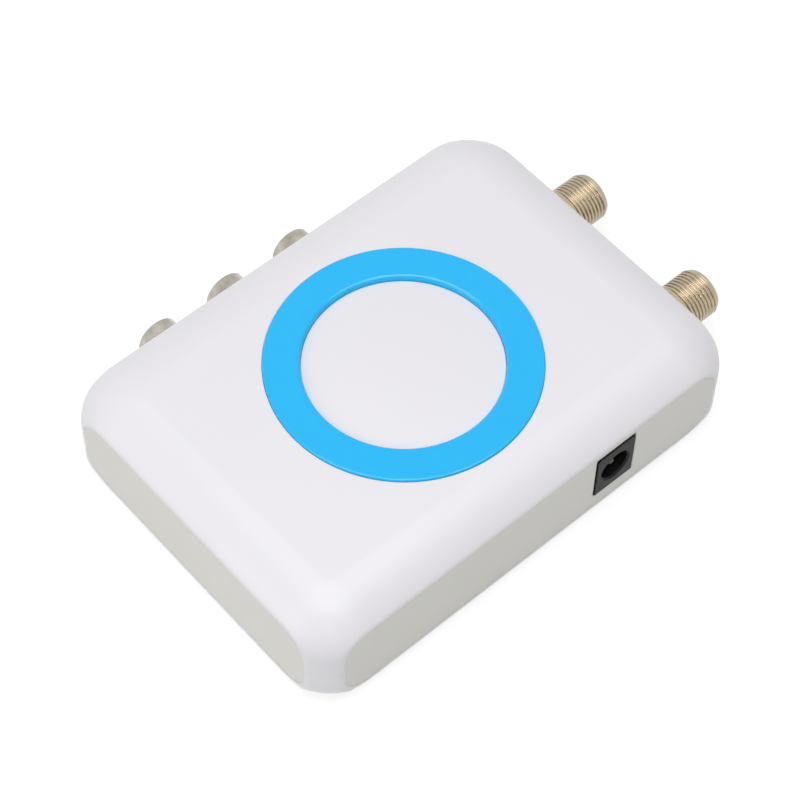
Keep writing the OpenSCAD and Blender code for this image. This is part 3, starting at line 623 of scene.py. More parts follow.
def new_tree(name, inputs):
    """An empty geometry tree with named inputs of (name, kind, default)."""
    tree = bpy.data.node_groups.new(name, "GeometryNodeTree")
    for label, kind, default in inputs:
        made = tree.interface.new_socket(label, in_out="INPUT", socket_type=kind)
        if default is not None:
            made.default_value = default
    tree.interface.new_socket(
        "Geometry", in_out="OUTPUT", socket_type="NodeSocketGeometry"
    )
    return tree, tree.nodes.new("NodeGroupInput").outputs


def grown(name, tree, values):
    """The mesh that a tree makes of these inputs."""
    holder = bpy.data.objects.new(name, bpy.data.meshes.new(name))
    bpy.context.scene.collection.objects.link(holder)
    change = holder.modifiers.new(name, "NODES")
    change.node_group = tree
    for item in tree.interface.items_tree:
        if item.in_out == "INPUT" and item.name in values:
            change[item.identifier] = values[item.name]
    bpy.context.view_layer.update()
    seen = holder.evaluated_get(bpy.context.evaluated_depsgraph_get())
    mesh = bpy.data.meshes.new_from_object(seen)
    bpy.data.objects.remove(holder)
    return mesh


def thread_tree():
    """A screw thread wound round the X axis, its ends running out into the root."""
    tree, given = new_tree(
        "screw_thread",
        [
            ("Start", FLOAT, 0.0),
            ("Length", FLOAT, 0.01),
            ("Pitch", FLOAT, 0.001),
            ("Root radius", FLOAT, 0.004),
            ("Depth", FLOAT, 0.0004),
            ("Run-out", FLOAT, 0.0004),
            ("Axis Y", FLOAT, 0.0),
            ("Axis Z", FLOAT, 0.0),
            ("Sides", INT, SIDES),
            ("Rows", INT, THREAD_ROWS),
            ("Material", MATERIAL, None),
        ],
    )
    # A flat grid whose X goes round the axis and whose Y goes along it
    across = add(tree, MATH, given["Sides"], 1.0, operation="ADD")
    grid = add(tree, "GeometryNodeMeshGrid", 1.0, 1.0, across, given["Rows"])
    spot = add(tree, "GeometryNodeInputPosition")
    parts = add(tree, "ShaderNodeSeparateXYZ", spot).outputs
    share = add(tree, MATH, parts["X"], 0.5, operation="ADD")
    angle = add(tree, MATH, share, 2 * math.pi, operation="MULTIPLY")
    along = add(tree, MATH, parts["Y"], 0.5, operation="ADD")
    way = add(tree, MATH, along, given["Length"], operation="MULTIPLY")
    # How far each place is from the middle of the ridge that winds past it
    pitches = add(tree, MATH, way, given["Pitch"], operation="DIVIDE")
    turns = add(tree, MATH, pitches, share, operation="SUBTRACT")
    above_zero = add(tree, MATH, turns, SPARE_TURNS, operation="ADD")
    phase = add(tree, MATH, above_zero, operation="FRACT")
    from_crest = add(tree, MATH, phase, 0.5, operation="SUBTRACT")
    off = add(tree, MATH, from_crest, operation="ABSOLUTE")
    limits = (CREST_EDGE, CREST_FLAT, 0, 1)
    ridge = add(tree, RANGE, off, *limits, interpolation_type="SMOOTHSTEP")
    # The ridge fades out at both ends
    first = add(tree, MATH, way, given["Run-out"], operation="DIVIDE", use_clamp=True)
    rest = add(tree, MATH, given["Length"], way, operation="SUBTRACT")
    last = add(tree, MATH, rest, given["Run-out"], operation="DIVIDE", use_clamp=True)
    both = add(tree, MATH, first, last, operation="MULTIPLY")
    full = add(tree, MATH, ridge, both, operation="MULTIPLY")
    deep, root = given["Depth"], given["Root radius"]
    radius = add(tree, MATH, full, deep, root, operation="MULTIPLY_ADD")
    cosine = add(tree, MATH, angle, operation="COSINE")
    sine = add(tree, MATH, angle, operation="SINE")
    y = add(tree, MATH, cosine, radius, given["Axis Y"], operation="MULTIPLY_ADD")
    z = add(tree, MATH, sine, radius, given["Axis Z"], operation="MULTIPLY_ADD")
    x = add(tree, MATH, way, given["Start"], operation="ADD")
    there = add(tree, "ShaderNodeCombineXYZ", x, y, z)
    moved = add(tree, "GeometryNodeSetPosition", grid, named={"Position": there})
    joined = add(tree, "GeometryNodeMergeByDistance", moved, named={"Distance": WELD})
    real = add(tree, REALIZE, joined)
    painted = add(tree, PAINT, real, named={"Material": given["Material"]})
    add(tree, "NodeGroupOutput", painted)
    return tree


def four_places_tree():
    """One object set on the four corners of a rectangle."""
    tree, given = new_tree(
        "four_places",
        [
            ("Length", FLOAT, 0.08),
            ("Width", FLOAT, 0.05),
            ("Piece", "NodeSocketObject", None),
            ("Material", MATERIAL, None),
        ],
    )
    grid = add(tree, "GeometryNodeMeshGrid", given["Length"], given["Width"], 2, 2)
    dots = add(tree, "GeometryNodeMeshToPoints", grid)
    item = add(tree, "GeometryNodeObjectInfo", given["Piece"]).outputs["Geometry"]
    placed = add(tree, "GeometryNodeInstanceOnPoints", dots, named={"Instance": item})
    real = add(tree, REALIZE, placed)
    painted = add(tree, PAINT, real, named={"Material": given["Material"]})
    add(tree, "NodeGroupOutput", painted)
    return tree


# ---- Materials ----

# Octaves of the patches' and the grain's noise
PATCH_DETAIL, GRAIN_DETAIL = 3.0, 2.0


def linear(code):
    """An sRGB hex colour as linear red, green, blue and alpha."""
    made = []
    for k in (0, 2, 4):
        c = int(code[k : k + 2], 16) / 255
        made.append(c / 12.92 if c <= 0.04045 else ((c + 0.055) / 1.055) ** 2.4)
    return (*made, 1.0)


class Finish:
    """Two near colours in patches, and a grain that bumps the surface; sizes in mm."""

    def __init__(
        self,
        light,
        dark,
        patch,
        grain,
        relief,
        rough,
        spread=0.05,
        stretch=(1, 1, 1),
        **values,
    ):
        self.light, self.dark, self.patch = light, dark, patch
        self.grain, self.relief, self.stretch = grain, relief, stretch
        self.rough, self.spread, self.values = rough, spread, values

    def material(self, name):
        """The finish as a material, made once."""
        if name in bpy.data.materials:
            return bpy.data.materials[name]
        material = bpy.data.materials.new(name)
        material.use_nodes = True
        tree = material.node_tree
        tree.nodes.clear()
        spot = add(tree, "ShaderNodeTexCoord").outputs["Object"]
        along = add(tree, "ShaderNodeMapping", spot, named={"Scale": self.stretch})
        patches = {"Scale": 1 / (self.patch * MM), "Detail": PATCH_DETAIL}
        cloud = add(tree, NOISE, spot, named=patches)
        grain = {"Scale": 1 / (self.grain * MM), "Detail": GRAIN_DETAIL}
        fine = add(tree, NOISE, along, named=grain)
        colours = {"Factor": cloud, 6: linear(self.dark), 7: linear(self.light)}
        tint = add(tree, "ShaderNodeMix", named=colours, data_type="RGBA").outputs[2]
        limits = (0, 1, self.rough - self.spread, self.rough + self.spread)
        gloss = add(tree, RANGE, fine, *limits)
        height = {"Height": fine, "Distance": self.relief * MM}
        bump = add(tree, "ShaderNodeBump", named=height)
        plain = {key.replace("_", " "): value for key, value in self.values.items()}
        sockets = {"Roughness": gloss, "Normal": bump, **plain}
        shader = add(tree, "ShaderNodeBsdfPrincipled", tint, named=sockets)
        add(tree, "ShaderNodeOutputMaterial", shader)
        return material


# Each finish: light and dark colour, size of the patches, the grain and its relief in mm,
# roughness, how far that varies where it isn't 0.05, and other values of the shader
FINISHES = {
    # Injection-moulded white ABS: a soft satin sheen from a fine spark-eroded mould
    "satin_moulded_abs": Finish(
        "EDEBEF", "E9E7EC", 30, 0.45, 0.0025, 0.36, IOR=1.54
    ),
    # Injection-moulded ABS of the panels: a little greyer and flatter than the covers
    "matt_moulded_abs": Finish("E4E3DD", "DFDED8", 22, 0.4, 0.003, 0.46, IOR=1.54),
    # Bright nickel plate over rolled brass: a light warm grey, almost a mirror; its dark
    # brown patches are painted reflection, standing in for dark surroundings seen in the
    # metal
    "bright_nickel_plate": Finish(
        "DAD5CA", "857E72", 2.2, 0.25, 0.001, 0.1, 0.03, Metallic=1.0
    ),
    # Dull nickel plate over a turned brass thread: browner, with marks of the tool
    "satin_nickel_plate": Finish(
        "C6B8A0", "AC9E87", 2.5, 0.2, 0.0015, 0.26, 0.06, (1, 0.1, 0.1), Metallic=1.0
    ),
    # Brass of the power jack's pin painted dark brown: painted shade for the deep shadow
    # inside the socket, where the pin sits
    "oxidised_brass_pin": Finish(
        "5C5040", "40372B", 1.5, 0.2, 0.0015, 0.35, Metallic=1.0
    ),
    # Zinc-plated steel of the screws: duller and bluer than nickel
    "bright_zinc_plated_steel": Finish(
        "B9BDC2", "9EA3A8", 1.5, 0.2, 0.002, 0.32, 0.08, Metallic=1.0
    ),
    # Tinned steel sheet of the can and the springs: soft grey with faint rolling lines
    "rolled_tin_plate": Finish(
        "B4B8BA", "A2A6A9", 6, 0.3, 0.002, 0.3, 0.08, (0.05, 1, 1), Metallic=1.0
    ),
    # Thin gold over nickel on the contacts: pale yellow and bright
    "gold_flashed_contact": Finish(
        "E0BB66", "CDA552", 2, 0.2, 0.001, 0.2, 0.04, Metallic=1.0
    ),
    # Glass-filled black nylon: dark grey in the light, with a dull grain
    "moulded_black_nylon": Finish(
        "141413", "0D0D0D", 4, 0.25, 0.006, 0.5, 0.08, Specular_IOR_Level=0.2
    ),
    # Milky white polyethylene of the aerial jacks' insulators, waxy and soft
    "turned_white_polyethylene": Finish(
        "EDE8DA",
        "E3DDCC",
        3,
        0.3,
        0.002,
        0.42,
        IOR=1.51,
        Subsurface_Weight=0.2,
        Subsurface_Scale=0.001,
    ),
    # Glossy moulded ABS of the phono jacks' cores, each in its signal's colour
    "glossy_yellow_abs": Finish("F2C318", "E3B20F", 3, 0.3, 0.0015, 0.25, IOR=1.54),
    "glossy_white_abs": Finish("EEEEEA", "E6E6E1", 3, 0.3, 0.0015, 0.25, IOR=1.54),
    "glossy_red_abs": Finish("C11F22", "A9181C", 3, 0.3, 0.0015, 0.25, IOR=1.54),
    # Brown phenolic board of the switch's base, with paper fibres in it
    "pressed_brown_phenolic": Finish(
        "5A3A22", "3E2616", 1.5, 0.3, 0.004, 0.5, 0.08, IOR=1.58
    ),
    # Black moulding compound of the chips: flat black with a fine sand grain
    "moulded_chip_epoxy": Finish(
        "1E1E20", "151517", 2, 0.15, 0.005, 0.6, 0.06, IOR=1.55
    ),
    # Dark blue shrink sleeve over aluminium: tight and half glossy
    "shrunk_vinyl_sleeve": Finish("1B2150", "141940", 3, 0.4, 0.003, 0.3, IOR=1.53),
    # Sintered ferrite: charcoal grey, dense and matt with a fine crumb
    "sintered_ferrite": Finish("3A3A3C", "29292B", 1, 0.12, 0.01, 0.65, 0.06),
    # Enamelled copper wire laid turn by turn: the grain is stretched round the coil
    "enamelled_copper_wire": Finish(
        "B4622F", "8E4720", 2, 0.25, 0.03, 0.3, stretch=(0.05, 0.05, 1), Metallic=1.0
    ),
    # Green solder resist over glass-fibre board: a satin skin that shows the weave
    "screened_solder_resist": Finish(
        "1F6B3E", "185733", 5, 0.5, 0.006, 0.35, 0.06, IOR=1.5
    ),
    # Clear blue-tinted epoxy of the light diodes
    "cast_clear_epoxy": Finish(
        "BBD9F2", "A9CBE8", 2, 0.4, 0.001, 0.08, 0.02, IOR=1.53, Transmission_Weight=0.8
    ),
}

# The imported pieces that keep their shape, by finish
KEPT_NODES = {
    "screened_solder_resist": ("circuit_board",),
    "cast_clear_epoxy": ("light_diodes",),
    "gold_flashed_contact": (
        "aerial_contact_back",
        "aerial_contact_front",
        "sleeve_yellow",
        "sleeve_white",
        "sleeve_red",
    ),
    "moulded_black_nylon": ("jack_block_yellow", "jack_block_white", "jack_block_red"),
    # The pin's dark brown is painted shade for the socket's deep shadow
    "oxidised_brass_pin": ("power_pin",),
    "rolled_tin_plate": (
        "power_spring",
        "switch_frame",
        "shield_frame",
        "shield_lid",
        "crystal",
    ),
    "pressed_brown_phenolic": ("switch_base",),
    "moulded_chip_epoxy": ("modulator_chip", "control_chip", "regulator"),
    "shrunk_vinyl_sleeve": ("capacitors",),
    "sintered_ferrite": ("choke_core",),
    "enamelled_copper_wire": ("choke_winding",),
}


def finish(name):
    """The material of a finish."""
    return FINISHES[name].material(name)


def blue_acrylic(colour):
    """Clear blue acrylic, polished: deep colour inside and a hard gloss outside."""
    depth = {"Subsurface_Weight": 0.25, "Subsurface_Scale": 0.002}
    clear = Finish(colour, colour, 12, 1.5, 0.0006, 0.09, 0.02, IOR=1.49, **depth)
    return clear.material("polished_blue_acrylic")


# ---- Settings ----


def length(name, text, default, low, high):
    """A length that a user may set, given in millimetres."""
    return bpy.props.FloatProperty(
        name=name,
        description=text,
        default=default * MM,
        min=low * MM,
        max=high * MM,
        precision=5,
        subtype="DISTANCE",
        unit="LENGTH",
    )


def power(name, text, default):
    """A lamp's power that a user may set, in watts."""
    return bpy.props.FloatProperty(
        name=name, description=text, default=default, min=0.0, unit="POWER"
    )


class CaseSettings(bpy.types.PropertyGroup):
    """Sizes and colours that a user may change."""

    groove: length(
        "Joint groove", "Size of the fine groove where the covers meet", 0.09, 0.01, 0.3
    )
    window_edge: length(
        "Window edge",
        "Largest rounding of the covers' edge around each panel",
        0.9,
        0.1,
        1.1,
    )
    panel_edge: length(
        "Panel edge", "Rounding of the edges of the panels' openings", 0.3, 0.05, 0.4
    )
    ring_colour: bpy.props.StringProperty(
        name="Ring colour",
        description="sRGB hex colour of the light ring",
        default="00BEFF",
    )


class JackSettings(bpy.types.PropertyGroup):
    """Sizes of the jacks' fine detail."""

    thread_pitch: length(
        "Thread pitch",
        "Distance from one ridge of the aerial jacks' thread to the next",
        0.794,
        0.5,
        1.2,
    )
    thread_depth: length(
        "Thread depth", "Depth of the aerial jacks' thread", 0.27, 0.1, 0.5
    )
    lip: length("Barrel lip", "Rounding of the phono barrels' lips", 0.4, 0.1, 0.6)


class StageSettings(bpy.types.PropertyGroup):
    """Light and background."""

    key_power: power("Key light", "Power of the lamp above", 3.5)
    side_power: power("Side light", "Power of the lamp on the left", 1.0)
    front_power: power("Front light", "Power of the small lamp in front", 0.35)
    sky: bpy.props.FloatProperty(
        name="Sky",
        description="Strength of the light from all round",
        default=0.36,
        min=0.0,
        max=1.5,
    )


# ---- Operators ----


class BuildCovers(bpy.types.Operator):
    """Builds the two covers"""

    bl_idname = "modulator.covers"
    bl_label = "Covers"

    def execute(self, context):
        sizes = context.scene.modulator_case
        groove, soft = sizes.groove / MM, sizes.window_edge / MM
        abs_skin, slot = finish("satin_moulded_abs"), "case_plastic"
        roof = top_cover_shape(groove, soft)
        show("roof_cover", roof, abs_skin, CASE, slot, "top_cover", flat=True)
        base = bottom_cover_shape(groove, soft)
        show("base_cover", base, abs_skin, CASE, slot, "bottom_cover", flat=True)
        return {"FINISHED"}


class BuildPanels(bpy.types.Operator):
    """Builds the four side panels"""

    bl_idname = "modulator.panels"
    bl_label = "Side panels"

    def execute(self, context):
        soft = context.scene.modulator_case.panel_edge / MM
        low, high = box_mm("power_housing")
        # The hole over the power jack, from the board's top to the jack's
        jack = (
            (low[0] + high[0]) / 2,
            (BOARD_TOP + high[2]) / 2,
            (high[0] - low[0]) / 2 + JACK_GAP,
            (high[2] - BOARD_TOP) / 2 + JACK_GAP,
            JACK_HOLE_SOFT,
        )
        switch = (-middle("switch_frame", 0), middle("switch_knob", 2))
        switch += (SWITCH_HALF_X, SWITCH_HALF_Z, SWITCH_SOFT)
        aerials = [(middle("aerial_shell_" + n, 1), AERIAL_HOLE_R) for n in ENDS]
        plugs = [(-middle("barrel_" + n, 0), PLUG_HOLE_R) for n in TINTS]

        def rounds(places):
            return [lambda g, x=x, r=r: round_loop(x, AXIS_Z, r, g) for x, r in places]

        holes = {
            "front": [lambda g: slot_loop(*jack, g)],
            "right": rounds(aerials),
            "back": [*rounds(plugs), lambda g: slot_loop(*switch, g)],
            "left": [],
        }
        skin = finish("matt_moulded_abs")
        for side, (name, openings) in enumerate(holes.items()):
            plate = panel_shape(side, openings, soft)
            piece, node = name + "_plate", name + "_panel"
            show(piece, plate, skin, CASE, "panel_plastic", node, flat=True)
        return {"FINISHED"}


class BuildRing(bpy.types.Operator):
    """Builds the light ring with its legs"""

    bl_idname = "modulator.ring"
    bl_label = "Light ring"

    def execute(self, context):
        shape = Shape()
        corners = [
            (RING_HOLE_R, SEAT_Z, 0),
            (RING_R, SEAT_Z, 0),
            (RING_R, RING_TOP, RING_OUTER_SOFT),
            (RING_HOLE_R, RING_TOP, RING_INNER_SOFT),
        ]
        shape.turned(softened(corners, steps=8), "z", CENTRE, RING_SIDES, ring=True)
        low, high = RING_LEG_LOW, SEAT_Z + LEG_INTO_RING
        for at in leg_places():
            shape.turned(rod(LEG_R, low, high), "z", at, LEG_SIDES)
        skin = blue_acrylic(context.scene.modulator_case.ring_colour)
        show("ring_of_light", shape, skin, CASE, "ring_plastic", "light_ring", flat=True)
        return {"FINISHED"}


class BuildAerialJacks(bpy.types.Operator):
    """Builds the two threaded aerial jacks"""

    bl_idname = "modulator.aerial_jacks"
    bl_label = "Aerial jacks"

    def execute(self, context):
        sizes = context.scene.modulator_jacks
        plate, milky = finish("satin_nickel_plate"), finish("turned_white_polyethylene")
        root_r = AERIAL_CREST_R - sizes.thread_depth / MM
        thread = {
            "Start": SHOULDER_X * MM,
            "Pitch": sizes.thread_pitch,
            "Root radius": root_r * MM,
            "Depth": sizes.thread_depth,
            "Run-out": RUN_OUT * MM,
            "Axis Z": AXIS_Z * MM,
            "Sides": SIDES,
            "Rows": THREAD_ROWS,
            "Material": plate,
        }
        tree = thread_tree()
        for place in ENDS:
            node = "aerial_shell_" + place
            low, high = box_mm(node)
            y, back, tip = (low[1] + high[1]) / 2, low[0], high[0]
            centre, block_front = (y, AXIS_Z), back + AERIAL_BLOCK
            foot, thread_end = block_front - SUNK, tip - AERIAL_LEAD
            shape = Shape()

            # The shoulder, the thread and the tip with its bore, in one closed skin
            shoulder = [
                (AERIAL_SHOULDER_R, foot, 0),
                (AERIAL_SHOULDER_R, SHOULDER_X, SHOULDER_SOFT),
                (root_r, SHOULDER_X, 0),
            ]
            rows = shape.turned(softened(shoulder), "x", centre)
            thread["Length"], thread["Axis Y"] = (thread_end - SHOULDER_X) * MM, y * MM
            wound = grown("thread_" + place, tree, thread)
            first = len(shape.points)
            shape.points += [tuple(c / MM for c in v.co) for v in wound.vertices]
            shape.faces += [tuple(first + i for i in f.vertices) for f in wound.polygons]
            end = [
                (root_r, thread_end, 0),
                (AERIAL_LEAD_R, thread_end, 0),
                (AERIAL_LEAD_R, tip, TIP_SOFT),
                (AERIAL_BORE_R, tip, MOUTH_SOFT),
                (AERIAL_BORE_R, foot, 0),
            ]
            tips = [shape.row(around("x", centre, r, x)) for r, x in softened(end)]
            shape.bands([*tips, rows[0]])

            # The block behind it, with its bore and four leads
            half, top = AERIAL_BLOCK_WIDE / 2, BOARD_TOP + AERIAL_BLOCK_HT
            box = ((-half, BOARD_TOP), (half, BOARD_TOP), (half, top), (-half, top))
            ends = (back, block_front)
            outer = [shape.row((x, y + sy, z) for sy, z in box) for x in ends]
            inner = [shape.row(around("x", centre, AERIAL_BORE_R, x)) for x in ends]
            shape.bands(outer)
            shape.bands(inner)
            for loops in zip(outer, inner):
                shape.fill(*loops)
            for x in (back + LEAD_IN, BOARD_END - LEAD_IN):
                for side in (-LEAD_SIDE, LEAD_SIDE):
                    lead = rod(LEAD_R, LEAD_LOW, LEAD_TOP)
                    shape.turned(lead, "z", (x, y + side), LEAD_SIDES)
            show("aerial_barrel_" + place, shape, plate, CASE, "nickel", node, sharp=50)

            # The insulator, with the funnel for the wire and the contact's bore
            face, wide = tip - BUSH_IN, AERIAL_BORE_R - CLEAR
            neck = face - WIRE_DEEP
            outline = [
                (wide, back, 0),
                (wide, face, BUSH_SOFT),
                (WIRE_R + WIRE_FUNNEL, face, 0),
                (WIRE_R, face - WIRE_FUNNEL, 0),
                (WIRE_R, neck, 0),
                (CONTACT_R, neck, 0),
                (CONTACT_R, back, 0),
            ]
            bush = Shape()
            bush.turned(softened(outline), "x", centre, ring=True)
            node = "aerial_insulator_" + place
            show("aerial_bush_" + place, bush, milky, CASE, "insulator", node)
        return {"FINISHED"}


class BuildPhonoJacks(bpy.types.Operator):
    """Builds the three phono jacks' barrels and cores"""

    bl_idname = "modulator.phono_jacks"
    bl_label = "Phono jacks"

    def execute(self, context):
        lip = context.scene.modulator_jacks.lip / MM
        # The barrels' finish carries dark patches of painted reflection
        plate = finish("bright_nickel_plate")
        for tint in TINTS:
            node = "barrel_" + tint
            low, high = box_mm(node)
            centre = (middle(node, 0), AXIS_Z)
            r, foot, tip = (high[0] - low[0]) / 2, low[1], high[1]
            inner, seat, spigot = r - BARREL_WALL, foot + BARREL_SEAT, r - SPIGOT_STEP
            outline = [
                (inner, foot, 0),
                (spigot, foot, SPIGOT_SOFT),
                (spigot, seat, 0),
                (r - FOOT_CUT_WIDE, seat, 0),
                (r, seat + FOOT_CUT_LONG, FOOT_SOFT),
                (r, tip, lip),
                (inner, tip, BORE_LIP),
            ]
            barrel = Shape()
            barrel.turned(softened(outline, steps=6), "y", centre, ring=True)
            show("phono_barrel_" + tint, barrel, plate, CASE, "nickel", node, sharp=50)

            wide, face = inner - CLEAR, tip - CORE_IN
            dish, deep = face - DISH_DEEP, face - PIN_HOLE_DEEP
            outline = [
                (wide, foot, 0),
                (wide, face, CORE_SOFT),
                (DISH_R, face, FOOT_SOFT),
                (DISH_R - DISH_SLOPE, dish, FOOT_SOFT),
                (PIN_HOLE_R + PIN_FUNNEL, dish, 0),
                (PIN_HOLE_R, dish - PIN_FUNNEL, 0),
                (PIN_HOLE_R, deep, 0),
                (SLEEVE_R, deep, 0),
                (SLEEVE_R, foot, 0),
            ]
            core = Shape()
            core.turned(softened(outline), "y", centre, ring=True)
            skin, slot = finish(f"glossy_{tint}_abs"), tint + "_plastic"
            show("phono_core_" + tint, core, skin, CASE, slot, "core_" + tint)
        return {"FINISHED"}


class BuildPowerJack(bpy.types.Operator):
    """Builds the power jack's housing"""

    bl_idname = "modulator.power_jack"
    bl_label = "Power jack"

    def execute(self, context):
        low, high = box_mm("power_housing")
        x, z = middle("power_housing", 0), middle("power_housing", 2)
        half, front, back = (high[0] - low[0]) / 2, low[1], high[1]

        def outline(o):
            """The housing's section, o smaller all round, its two upper corners cut."""
            c = HOUSING_CUT + o * (math.sqrt(2) - 1)
            w, top, foot = half - o, high[2] - o, low[2] + o
            side_top = high[2] - c
            sides = [(x - w, foot), (x + w, foot), (x + w, side_top)]
            return [*sides, (x + half - c, top), (x - half + c, top), (x - w, side_top)]

        shape = Shape()
        rows = []
        for a in HOUSING_TURNS:
            less, y = HOUSING_SOFT * (1 - math.sin(a)), HOUSING_SOFT * (1 - math.cos(a))
            rows.append(shape.row((px, front + y, pz) for px, pz in outline(less)))
        rows.append(shape.row((px, back, pz) for px, pz in outline(0)))
        shape.bands(rows)
        deep = front + SOCKET_DEEP
        bore = [(SOCKET_R + SOCKET_CHAMFER, front), (SOCKET_R, front + SOCKET_CHAMFER)]
        bore += [(SOCKET_R, deep), (SOCKET_PIN_R, deep), (SOCKET_PIN_R, back)]
        inside = shape.turned(bore, "y", (x, z))
        shape.fill(rows[0], inside[0])
        shape.fill(rows[-1], inside[-1])
        skin, slot, node = finish("moulded_black_nylon"), "black_plastic", "power_housing"
        show("power_socket", shape, skin, CASE, slot, node, sharp=30, flat=True)
        return {"FINISHED"}


class BuildSwitch(bpy.types.Operator):
    """Builds the channel switch's knob"""

    bl_idname = "modulator.channel_switch"
    bl_label = "Channel switch"

    def execute(self, context):
        low, high = box_mm("switch_knob")
        x, z, tip = middle("switch_knob", 0), middle("switch_knob", 2), high[1]
        foot, (wide, tall) = low[1] + CARRIAGE_LONG, STEM
        # Half width and half height along the knob: the carriage, the stem and its tip
        stages = [
            (low[1], *CARRIAGE),
            (foot, *CARRIAGE),
            (foot, wide, tall),
            (tip - TIP_BEVEL, wide, tall),
            (tip - TIP_BREAK, wide - TIP_BREAK, tall - TIP_BREAK),
            (tip, wide - TIP_BEVEL, tall - TIP_BEVEL),
        ]
        shape = Shape()
        rows = []
        for y, w, t in stages:
            corners = [(p * w, q * t, KNOB_CORNER) for p, q in AROUND]
            rows.append(shape.row((x + px, y, z + pz) for px, pz in softened(corners)))
        shape.bands(rows)
        shape.fill(rows[0])
        shape.fill(rows[-1])
        skin, slot = finish("moulded_black_nylon"), "black_plastic"
        show("channel_knob", shape, skin, KNOB, slot, "switch_knob", sharp=30)
        return {"FINISHED"}


class BuildScrews(bpy.types.Operator):
    """Builds the four case screws"""

    bl_idname = "modulator.screws"
    bl_label = "Case screws"

    def execute(self, context):
        shape = Shape()
        cross = []
        for k in range(4):
            c, s = math.cos(k * QUARTER), math.sin(k * QUARTER)
            arm = ((SLOT_ARM, -SLOT_HALF), (SLOT_ARM, SLOT_HALF), (SLOT_HALF, SLOT_HALF))
            cross += [(px * c - py * s, px * s + py * c) for px, py in arm]
        deep = HEAD_SUNK + SLOT_DEEP
        mouth = shape.row((px, py, HEAD_SUNK) for px, py in cross)
        floor = shape.row((px * SLOT_TAPER, py * SLOT_TAPER, deep) for px, py in cross)
        shape.bands([mouth, floor])
        shape.fill(floor)
        top, seat = BOARD_TOP + SCREW_OVER, HEAD_SUNK + HEAD_T
        body = [(HEAD_R - less, HEAD_SUNK + up) for less, up in HEAD_DOME]
        body += [(HEAD_R, seat), (SCREW_R, seat), (SCREW_R, top - SCREW_TIP)]
        body += [(SCREW_TIP_R, top), (0, top)]
        rows = shape.turned(body, "z", CENTRE, POST_SIDES)
        shape.fill(rows[0], mouth)
        one = bpy.data.objects.new("one_screw", shape.mesh("one_screw"))
        bpy.context.scene.collection.objects.link(one)
        steel = finish("bright_zinc_plated_steel")
        given = {"Length": 2 * POST_X * MM, "Width": 2 * POST_Y * MM}
        given |= {"Piece": one, "Material": steel}
        mesh = grown("screws", four_places_tree(), given)
        bpy.data.objects.remove(one)
        show("cross_head_screws", mesh, steel, CASE, "screw_steel", "case_screws", sharp=35)
        return {"FINISHED"}


class PaintInside(bpy.types.Operator):
    """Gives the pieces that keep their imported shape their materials"""

    bl_idname = "modulator.paint_inside"
    bl_label = "Pieces inside"

    def execute(self, context):
        for name, nodes in KEPT_NODES.items():
            for node in nodes:
                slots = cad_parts[node].data.materials
                slots.clear()
                slots.append(finish(name))
        return {"FINISHED"}


# ---- Stage ----

# Radius of the floor in millimetres, and its colours straight on and in the light
FLOOR_R, WHITE, CARD, CARD_UNDER_GLOW, CARD_GLOW = 3000, "FFFFFF", "E6E6E6", "A8A8A8", 0.72
# Lamps as (name, place and size in metres, setting), all aimed at one point
LAMPS = (
    ("key_lamp", (0, 0, 0.8), 0.7, "key_power"),
    ("side_lamp", (-0.62, 0.1, 0.4), 0.5, "side_power"),
    ("front_lamp", (-0.45, -0.5, 0.55), 0.03, "front_power"),
)
LAMP_AIM = (0, 0, 0.01)
# The camera's turn, rise and roll in degrees, and its aim and distance in millimetres
CAMERA_TURN, CAMERA_RISE, CAMERA_ROLL = -42.0, 56.3, 1.08
CAMERA_AIM, CAMERA_FAR = (4.14, 5.33, 0), 468
# Focal length and picture width in pixels, and the sensor's width in millimetres
FOCAL_PIXELS, PICTURE_PIXELS, SENSOR = 2556, 800, 36


def seen_straight(tree):
    """1 for what the camera sees straight on, in a reflection or through glass."""
    path = add(tree, "ShaderNodeLightPath").outputs
    first = add(tree, MATH, path["Is Camera Ray"], path["Is Glossy Ray"], operation="ADD")
    through = path["Is Transmission Ray"]
    return add(tree, MATH, first, through, operation="ADD", use_clamp=True)


def pale_floor():
    """Matt white card: it reads as white, and still takes the soft shadow."""
    material = bpy.data.materials.new("matt_white_card")
    material.use_nodes = True
    tree = material.node_tree
    tree.nodes.clear()
    plain = add(tree, "ShaderNodeBsdfDiffuse", linear(CARD))
    under = add(tree, "ShaderNodeBsdfDiffuse", linear(CARD_UNDER_GLOW))
    glow = add(tree, "ShaderNodeEmission", linear(WHITE), CARD_GLOW)
    both = add(tree, "ShaderNodeAddShader", under, glow)
    mixed = add(tree, "ShaderNodeMixShader", seen_straight(tree), plain, both)
    add(tree, "ShaderNodeOutputMaterial", mixed)
    return material


